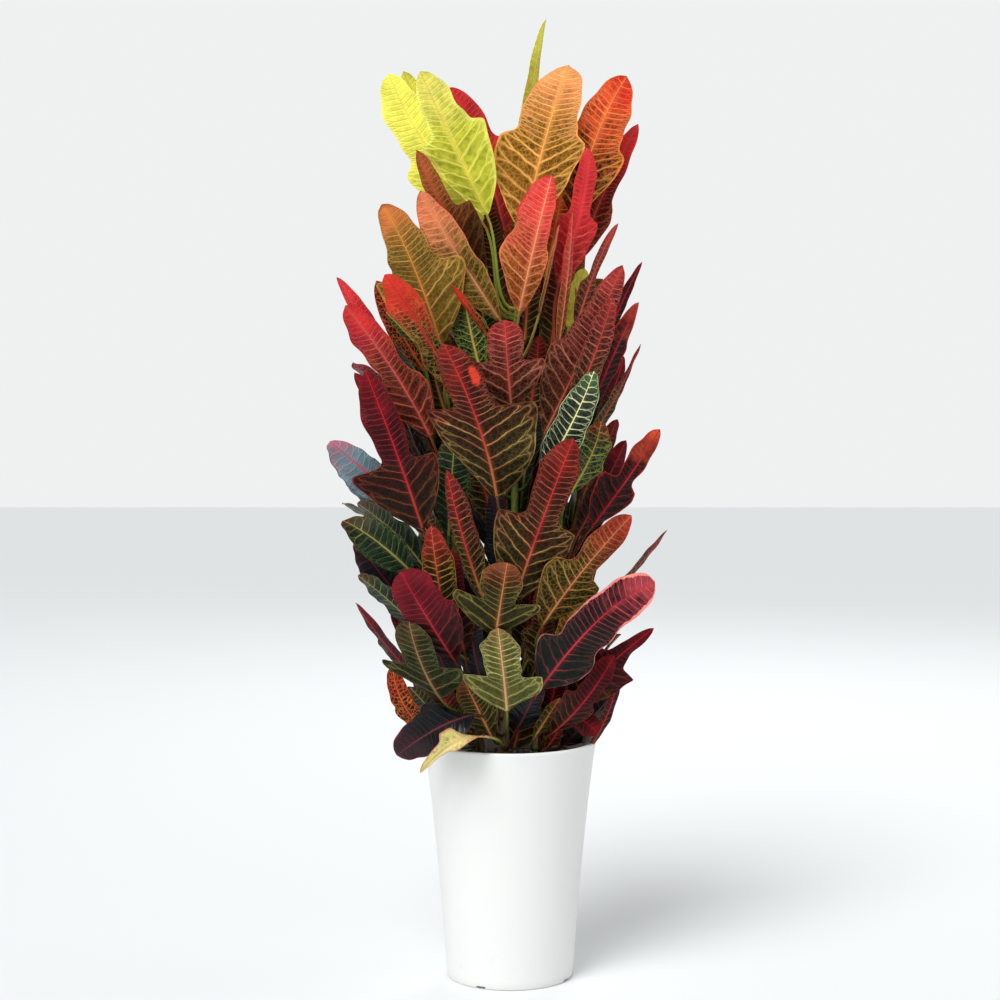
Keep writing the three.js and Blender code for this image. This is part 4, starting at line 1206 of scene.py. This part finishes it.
def stem_piece(name, nodes):
    """A woody stem with a swelling at each leaf node, ending in a small pointed bud."""
    line = STEM_LINES[name]
    top = line[-1]
    path = []
    for height in np.arange(line[0, 2], top[2] - 1, STEM_RING_GAP):
        point, radius = stem_at(name, height)
        swelling = sum(math.exp(-((height - node) / NODE_LENGTH) ** 2) for node in nodes)
        path.append((*point, radius * (1 + NODE_SWELLING * min(swelling, NODE_SWELLING_MOST))))
    for rise, share in BUD:
        path.append((top[0], top[1], top[2] + rise, STEMS[name]["tip"] * share))
    stem = extruded(f"trunk_{name}", path, STEM_SIDES)
    roughen(stem, amount=0.30, scale=7, seed=11 + len(name), mask=on_old_wood)
    smooth(stem, 60)
    return stem


# ---- the leaves ----
# More leaves that show between the others; the same columns as PLACED_LEAVES. The first ones
# stand in full view.
SEEN_FILLING = 33
FILLING_LEAVES = table("""
prong_behind right 500 81,-20,556 112,-30,616 144,-24,680 19 18 30 strap 12 crimson
brown_lobe left 610 -105,-24,764 -136,-34,816 -166,-26,877 19 19 -30 strap 10 maroon
green_bit left 590 -102,0,739 -131,-6,789 -160,0,842 20 20 -40 broad 10 green
bright_green center 745 -55,0,854 -80,-8,891 -104,-4,929 20 20 200 full 10 yellow
orange_sliver center 700 -14,-72,789 -43,-80,831 -73,-76,871 11 12 -60 strap 16 red
green_veined center 640 -35,-34,761 -52,-40,831 -64,-30,908 22 22 -10 broad 10 green
yellow_bit right 700 72,-10,818 82,-16,856 92,-12,892 15 17 20 full 10 yellow
dark_round right 535 85,0,598 110,-6,652 134,0,705 17 17 30 full 10 maroon
dark_tip_left left 400 -105,-42,436 -148,-54,482 -188,-50,514 22 24 -40 strap 12 green
olive_right right 420 70,-50,446 88,-60,496 104,-50,546 17 15 20 full 10 olive
mustard_bit right 400 56,-60,424 79,-70,472 99,-60,516 14 14 20 strap 10 orange
thin_pink_tip left 345 -106,-50,371 -150,-60,426 -191,-50,480 13 13 -50 strap 14 crimson
mottled_orange left 300 -96,-52,315 -130,-66,354 -145,-58,402 20 20 -30 full 10 salmon
narrow_crimson right 300 99,-30,294 123,-44,346 136,-36,399 10 10 40 strap 12 crimson
brown_low center 300 -22,-56,312 -39,-72,350 -58,-64,388 24 22 -10 full 10 olive
small_olive right 288 29,-56,311 46,-66,340 62,-60,363 9 9 10 strap 12 olive
small_red right 282 44,-50,298 56,-58,316 62,-52,335 9 9 10 full 10 crimson
dark_low_right right 292 64,-20,295 96,-36,330 124,-30,358 19 19 30 strap 12 black
dark_low_left left 292 -68,-20,297 -96,-36,340 -124,-30,371 24 24 -30 broad 12 green
glossy_under left 548 -138,-40,584 -180,-52,612 -210,-50,652 17 18 -40 full 10 black
far_left_tip left 655 -128,-28,752 -168,-38,812 -213,-36,881 13 14 -30 strap 12 scarlet
left_lower_green left 500 -104,-46,520 -140,-58,566 -188,-56,604 32 32 -40 full 10 green
pale_bit left 680 -116,-50,800 -132,-56,818 -152,-54,838 10 12 -30 full 10 yellow
top_yellow_middle center 830 -46,20,960 -96,34,1060 -134,36,1140 26 24 -20 full 12 yellow
low_left_back left 350 -100,-24,380 -128,-32,430 -146,-28,484 15 15 -25 full 10 crimson
rim_right right 286 50,-62,318 90,-84,362 128,-74,418 30 24 20 broad 12 crimson
rim_right_low right 284 44,-70,330 78,-92,338 108,-92,318 24 22 20 full 12 crimson
rim_center center 290 8,-52,322 22,-72,352 34,-72,384 24 24 5 broad 12 black
rim_left left 286 -46,-44,312 -72,-62,344 -92,-62,378 26 26 -15 broad 12 maroon
left_notch left 515 -128,-24,552 -170,-32,582 -208,-34,602 18 18 -50 full 10 green
right_tip_gap right 560 104,-14,690 124,-20,732 141,-20,784 11 11 30 strap 10 crimson
crimson_edge left 600 -118,-30,650 -156,-38,708 -192,-38,764 16 17 -35 full 10 crimson
low_left_edge left 330 -104,-40,372 -134,-48,404 -164,-50,434 17 17 -40 full 10 green
screen_left left 286 -58,34,300 -72,56,340 -88,66,372 34 30 215 lobed 10 black
screen_center_left center 296 -20,50,312 -30,78,352 -44,104,378 30 34 195 broad 12 crimson
screen_center center 284 14,52,296 22,72,344 24,84,396 36 32 175 lobed 10 green
screen_right right 292 54,36,306 70,58,336 90,72,356 28 30 145 broad 12 crimson
screen_far_left left 300 -80,16,306 -106,30,340 -132,34,360 24 26 245 strap 10 crimson
screen_far_right right 300 78,18,308 102,32,348 122,36,384 24 26 120 full 10 maroon
behind_stalks center 800 -8,14,850 -24,26,925 -34,28,1002 24 22 -10 full 12 maroon
behind_orange right 765 44,20,880 58,30,950 70,32,1022 24 22 10 full 12 red
behind_edges right 700 46,4,764 56,12,834 64,12,912 18 18 10 strap 12 maroon
behind_salmon center 720 -24,8,768 -34,16,836 -40,16,904 26 22 -10 full 12 green
low_gap_left left 360 -56,-62,420 -66,-74,480 -72,-70,548 24 22 -10 broad 12 crimson
low_gap_center center 330 -34,-60,372 -46,-76,430 -54,-76,486 24 26 -8 broad 12 black
low_gap_right right 330 34,-58,392 40,-72,448 44,-72,510 26 24 8 broad 12 maroon
mid_gap_left left 500 -76,-52,560 -72,-64,630 -66,-62,700 22 24 -5 strap 12 green
gap_left_high left 585 -74,6,650 -84,14,730 -92,14,804 20 20 -5 full 12 crimson
gap_center_high center 500 -14,12,560 -36,24,630 -52,26,704 22 24 -8 broad 12 maroon
gap_left_mid left 395 -60,6,440 -94,10,490 -126,10,540 20 18 -20 full 12 green
gap_left_low left 292 -84,10,330 -112,12,372 -136,12,412 16 16 -20 full 12 maroon
gap_center_left center 350 -28,28,396 -42,36,450 -54,36,504 26 24 -8 full 12 black
gap_center_right center 350 18,30,396 24,38,455 26,38,514 24 26 8 full 12 maroon
rim_back_left left 284 -50,28,284 -56,42,318 -64,50,350 30 30 0 full 10 black
rim_back_center center 283 4,12,284 12,22,312 20,26,346 34 34 6 full 10 maroon
rim_back_right right 283 40,6,284 52,16,312 62,20,344 32 34 10 full 10 crimson
rim_back_edge right 285 70,-4,286 88,4,312 104,8,340 26 30 16 full 10 crimson
stalk_gap center 790 18,0,800 22,8,860 24,10,920 20 20 0 full 12 maroon
stalk_gap_low center 640 20,-20,690 30,-14,750 36,-14,810 18 20 6 full 12 maroon
gap_behind_left left 610 -76,-16,700 -92,-12,750 -104,-10,806 22 22 -15 full 12 olive
gap_center_stem center 440 -8,-20,500 -14,-10,560 -18,-8,620 20 20 0 full 12 black
fill_low_left left 330 -70,-30,360 -84,-40,402 -94,-42,450 22 22 -10 full 12 black
fill_low_right right 300 44,-30,326 54,-40,364 60,-40,404 20 20 8 full 12 crimson
gap_high_left center 745 -40,20,790 -58,30,836 -70,34,890 22 20 -8 full 12 green
gap_high_right right 690 36,20,750 38,28,822 40,30,896 20 20 5 full 12 maroon
gap_mid_center center 500 -4,10,540 -4,18,600 -2,20,662 18 18 0 full 12 green
""")

# How far the crown reaches to the left and to the right at a height.
CROWN = [
    (304, -137, 119), (354, -147, 131), (416, -165, 162), (479, -190, 165), (554, -197, 150),
    (604, -206, 140), (679, -222, 150), (729, -197, 140), (791, -206, 130), (854, -200, 118),
    (916, -167, 110), (979, -150, 112), (1041, -137, 130),
]

# Inner, side and back leaves follow each stem round: its lowest and highest node, their number
# and the bearing of the first.
INNER_NODES = {"center": (292, 800, 56, 150), "left": (290, 700, 52, 250), "right": (290, 740, 54, 100)}
CROWN_FOOT, CROWN_HEIGHT = 300, 500
GOLDEN_TURN = 137.5
TRIES = 26
INNER_SEED = 21
PLACED_SEED, HABIT_SEED, FILLING_SEED, INNER_LEAF_SEED = 100, 200, 300, 500    # of each table's first leaf
FOREMOST, DEEPEST = -128, 158     # how far they may reach
LOWEST, HIGHEST = 284, 1010
HIDDEN_POINTS = 4         # points of the front leaves' coarse sheets that a filling one may hide
INNER_LENGTH = (150, 205)
INNER_HALF = (25, 44)
INNER_PETIOLE = (22, 62)
INNER_SHAPES = ("lobed", "broad", "full", "strap")
INNER_SHAPE_ODDS = (0.35, 0.25, 0.15, 0.25)
STRAP_WIDTH = 0.6         # of the width that other shapes would have
# A leaf that doesn't fit is drawn again, further from its bearing and smaller.
BEARING_SPREAD, BEARING_SPREAD_MORE = 8, 5
SMALLER = 0.018
BASE_RISE = 46            # degrees, of the lowest leaves
TOP_RISE = 28             # what is added up the crown
MOST_RISE = 86
RIPE_SPREAD = (-0.06, 0.06)


def habit_leaf(name, stem, node, faces, length, rise_base, rise_tip, half, shape, finish,
               seed, petiole=HABIT_PETIOLE):
    """A leaf that is set by its bearing, its rise at the base and at the tip, and its length."""
    base = stem_at(stem, node)[0] + rising(faces, HABIT_PETIOLE_RISE) * petiole
    middle = base + rising(faces, rise_base) * length / 2
    tip = middle + rising(faces, rise_tip) * length / 2
    return Leaf(name, stem, node, base, middle, tip, half, half, faces, shape, HABIT_FOLD, finish,
                seed=seed)


def sheet_of(leaf, rows=15, columns=(0, 0.45, 0.8, 1)):
    """A coarse sheet of a leaf, for testing whether two leaves cross."""
    t = both_sides(columns)
    s = np.linspace(0.02, 0.99, rows)
    points = leaf.surface(s[:, None], t[None, :], detail=0.5)[0].reshape(-1, 3)
    n = len(t)
    quads = [(i * n + j, i * n + j + 1, (i + 1) * n + j + 1, (i + 1) * n + j)
             for i in range(rows - 1) for j in range(n - 1)]
    return BVHTree.FromPolygons([tuple(p) for p in points], quads), points


class Crown:
    """The leaves so far, and which of them a new one would cross."""

    def __init__(self):
        self.leaves, self.sheets, self.front = [], [], np.empty((0, 3))

    def add(self, leaf, sheet=None):
        self.leaves.append(leaf)
        self.sheets.append(sheet or sheet_of(leaf)[0])

    def keep_seen(self):
        """The leaves so far are not to be hidden from the front by later ones."""
        self.front = np.concatenate([sheet_of(leaf)[1] for leaf in self.leaves])

    def hides(self, sheet, points):
        """Whether a new sheet would hide the seen leaves from the front."""
        low, high = points.min(axis=0), points.max(axis=0)
        x, y, z = self.front.T
        behind = self.front[(x > low[0]) & (x < high[0]) & (z > low[2]) & (z < high[2]) & (y > low[1])]
        hidden = sum(1 for p in behind if sheet.ray_cast(tuple(p), (0, -1, 0))[0] is not None)
        return hidden > HIDDEN_POINTS

    def crossings(self, sheet):
        return sum(1 for other in self.sheets if sheet.overlap(other))

    def push_in(self, leaf, steps=7, step=7.0):
        """Moves a leaf back, away from the front, until it crosses no other."""
        for k in range(steps):
            sheet = sheet_of(leaf)[0]
            if not self.crossings(sheet):
                break
            if k < steps - 1:
                for place in (leaf.base, leaf.middle, leaf.tip, leaf.control):
                    place[1] += step
        self.add(leaf, sheet)


def in_crown(points, margin=0.86):
    """Whether all points lie inside the crown, seen from the front."""
    heights, lefts, rights = (np.array(column) for column in zip(*CROWN))
    low = np.interp(points[:, 2], heights, lefts) * margin
    high = np.interp(points[:, 2], heights, rights) * margin
    return bool(np.all((points[:, 0] > low) & (points[:, 0] < high)))


def fits(crown, sheet, points):
    """Whether a new leaf stays in the crown, crosses no other and hides none in front."""
    low, high = points.min(axis=0), points.max(axis=0)
    return (low[1] > FOREMOST and high[1] < DEEPEST and low[2] > LOWEST and high[2] < HIGHEST
            and in_crown(points) and not crown.crossings(sheet) and not crown.hides(sheet, points))


INNER_FINISHES = {
    # height up to which they are used: finishes of the leaves there, from the oldest up
    470: ("black", "green", "crimson", "olive", "maroon"),
    640: ("maroon", "crimson", "green", "green", "olive", "black"),
    760: ("maroon", "crimson", "green", "red", "maroon"),
    900: ("red", "pink", "salmon", "orange", "maroon", "green"),
}


def add_inner_leaves(crown):
    """Fills the crown: leaves round each stem, each drawn again until it fits."""
    luck = np.random.default_rng(INNER_SEED)
    number = 0
    for stem, (low, high, count, turn) in INNER_NODES.items():
        for node in np.linspace(low, high, count):
            turn += GOLDEN_TURN
            height = (node - CROWN_FOOT) / CROWN_HEIGHT
            for attempt in range(TRIES):
                faces = turn + luck.normal(0, BEARING_SPREAD + BEARING_SPREAD_MORE * attempt)
                sideways = abs(math.sin(math.radians(faces)))
                forward = max(math.cos(math.radians(faces)), 0)
                size = 1 - SMALLER * attempt
                length = size * luck.uniform(*INNER_LENGTH) * (0.82 + 0.3 * min(height, 0.6))
                half = size * luck.uniform(*INNER_HALF)
                rise_base = BASE_RISE + TOP_RISE * height + luck.uniform(-14, 10)
                rise_base = min(rise_base + 14 * max(sideways ** 2, forward), MOST_RISE)
                rise_tip = rise_base - luck.uniform(4, 26)
                shape = INNER_SHAPES[luck.choice(len(INNER_SHAPES), p=INNER_SHAPE_ODDS)]
                if shape == "strap":
                    half *= STRAP_WIDTH
                petiole = luck.uniform(*INNER_PETIOLE) - 12 * sideways
                finishes = next(f for top, f in INNER_FINISHES.items() if node <= top)
                leaf = habit_leaf(
                    f"inner_{number:03d}", stem, float(node), faces, length, rise_base, rise_tip, half,
                    shape, finishes[luck.integers(len(finishes))], seed=INNER_LEAF_SEED + number,
                    petiole=petiole)
                sheet, points = sheet_of(leaf)
                if fits(crown, sheet, points):
                    crown.add(leaf, sheet)
                    number += 1
                    break


def all_leaves():
    """(The crown with its leaves, the names of those that the model has as solids.)"""
    crown = Crown()
    for i, row in enumerate(PLACED_LEAVES):
        crown.add(Leaf(*row, seed=PLACED_SEED + i))
    for i, row in enumerate(HABIT_LEAVES):
        crown.add(habit_leaf(*row, seed=HABIT_SEED + i))
    solid = {leaf.name for leaf in crown.leaves}
    for i, row in enumerate(FILLING_LEAVES):
        crown.push_in(Leaf(*row, seed=FILLING_SEED + i))
    crown.keep_seen()
    add_inner_leaves(crown)
    for leaf in crown.leaves:
        leaf.look = SPECIAL.get(leaf.name, leaf.finish)
        leaf.tone = TONES.get(leaf.name, leaf.tone)
        leaf.ripe = RIPENESS[leaf.look] + leaf.luck.uniform(*RIPE_SPREAD)
    return crown, solid


crown, solid_leaves = all_leaves()
full_leaves = solid_leaves | {row[0] for row in FILLING_LEAVES[:SEEN_FILLING]}
for leaf in crown.leaves:
    if leaf.name in full_leaves:
        blade = blade_piece(leaf, FULL_ROWS, FULL_COLUMNS)
    else:
        blade = blade_piece(leaf, FILL_ROWS, FILL_COLUMNS)
    piece = join([blade, petiole_piece(leaf)], f"foliage_{leaf.name}")
    piece.data.materials.clear()
    piece.data.materials.append(LEAF_MATERIALS[leaf.look])
    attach(piece, "root")
    if leaf.name in solid_leaves:
        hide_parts(f"leaf_{leaf.name}")


def finished(piece, material, slot, *nodes):
    piece.data.materials.clear()
    piece.data.materials.append(material)
    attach(piece, "root")
    if nodes:
        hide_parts(*nodes)


compost = soil_finish()
finished(pot_piece(), pot_finish(), "pot_plastic", "pot")
finished(soil_piece(), compost, "compost", "soil")
finished(crumbs_piece("soil_crumbs", count=150, smallest=1.2, largest=3.4, seed=5), compost, "compost")
finished(crumbs_piece("perlite_bits", count=46, smallest=1.0, largest=2.2, seed=6), perlite_finish(), "compost")
bark = bark_finish()
for name in STEMS:
    nodes = [leaf.node for leaf in crown.leaves if leaf.stem == name]
    finished(stem_piece(name, nodes), bark, "bark", f"stem_{name}")


# ---- camera, light and floor ----
CAMERA_PLACE = (-0.0125, -2.9, 0.81)
CAMERA_DOWN = 4.068       # degrees
CAMERA_LENS, CAMERA_SENSOR = 83.52, 36

scene = bpy.context.scene
scene.view_settings.view_transform = "Standard"
camera_data = bpy.data.cameras.new("camera")
camera_data.sensor_width, camera_data.lens = CAMERA_SENSOR, CAMERA_LENS
camera = bpy.data.objects.new("camera", camera_data)
scene.collection.objects.link(camera)
camera.location = CAMERA_PLACE
camera.rotation_euler = (math.radians(90 - CAMERA_DOWN), 0, 0)
scene.camera = camera

WORLD_LIGHT = 0.42        # what the surroundings give
WORLD_SEEN = 0.88         # what they look like
world = bpy.data.worlds.new("studio")
world.use_nodes = True
sky = Wiring(world.node_tree)
background = world.node_tree.nodes["Background"]
background.inputs["Color"].default_value = (0.98, 1.0, 1.0, 1)
seen = sky.node("ShaderNodeLightPath").outputs["Is Camera Ray"]
sky.put(background.inputs["Strength"], sky.blend(seen, WORLD_LIGHT, WORLD_SEEN))
scene.world = world


def soft_light(name, place, target, size, power):
    data = bpy.data.lights.new(name, "AREA")
    data.shape, data.size, data.energy = "DISK", size, power
    lamp = bpy.data.objects.new(name, data)
    scene.collection.objects.link(lamp)
    lamp.location = place
    lamp.rotation_euler = toward(place, target)


def toward(place, target):
    """The turn that points a lamp from its place to a target."""
    direction = np.array(target, float) - np.array(place, float)
    level = math.hypot(direction[0], direction[1])
    return math.atan2(level, -direction[2]), 0, math.atan2(direction[0], -direction[1]) + math.pi


overhead_data = bpy.data.lights.new("overhead", "SUN")
overhead_data.energy, overhead_data.angle = 2.0, math.radians(30)
overhead = bpy.data.objects.new("overhead", overhead_data)
scene.collection.objects.link(overhead)
overhead.rotation_euler = toward((-0.8, -1.5, 2.2), (0, 0, 0))

soft_light("key", (-1.2, -2.4, 2.0), (0, 0, 0.6), size=1.2, power=16)
soft_light("back", (0.6, 2.6, 2.4), (0, 0, 0.6), size=1.6, power=24)
soft_light("side", (2.8, 0.4, 2.0), (0, 0, 0.8), size=1.6, power=7)

deselect()
bpy.ops.mesh.primitive_plane_add(size=16, location=(0, 0, 0))
floor = bpy.context.object
floor.name = floor.data.name = "floor"
floor_material, _, floor_shader = new_material("floor", (0.8, 0.8, 0.8, 1), 0.8)
floor_shader.inputs["Base Color"].default_value = (0.83, 0.85, 0.86, 1)
floor.data.materials.append(floor_material)
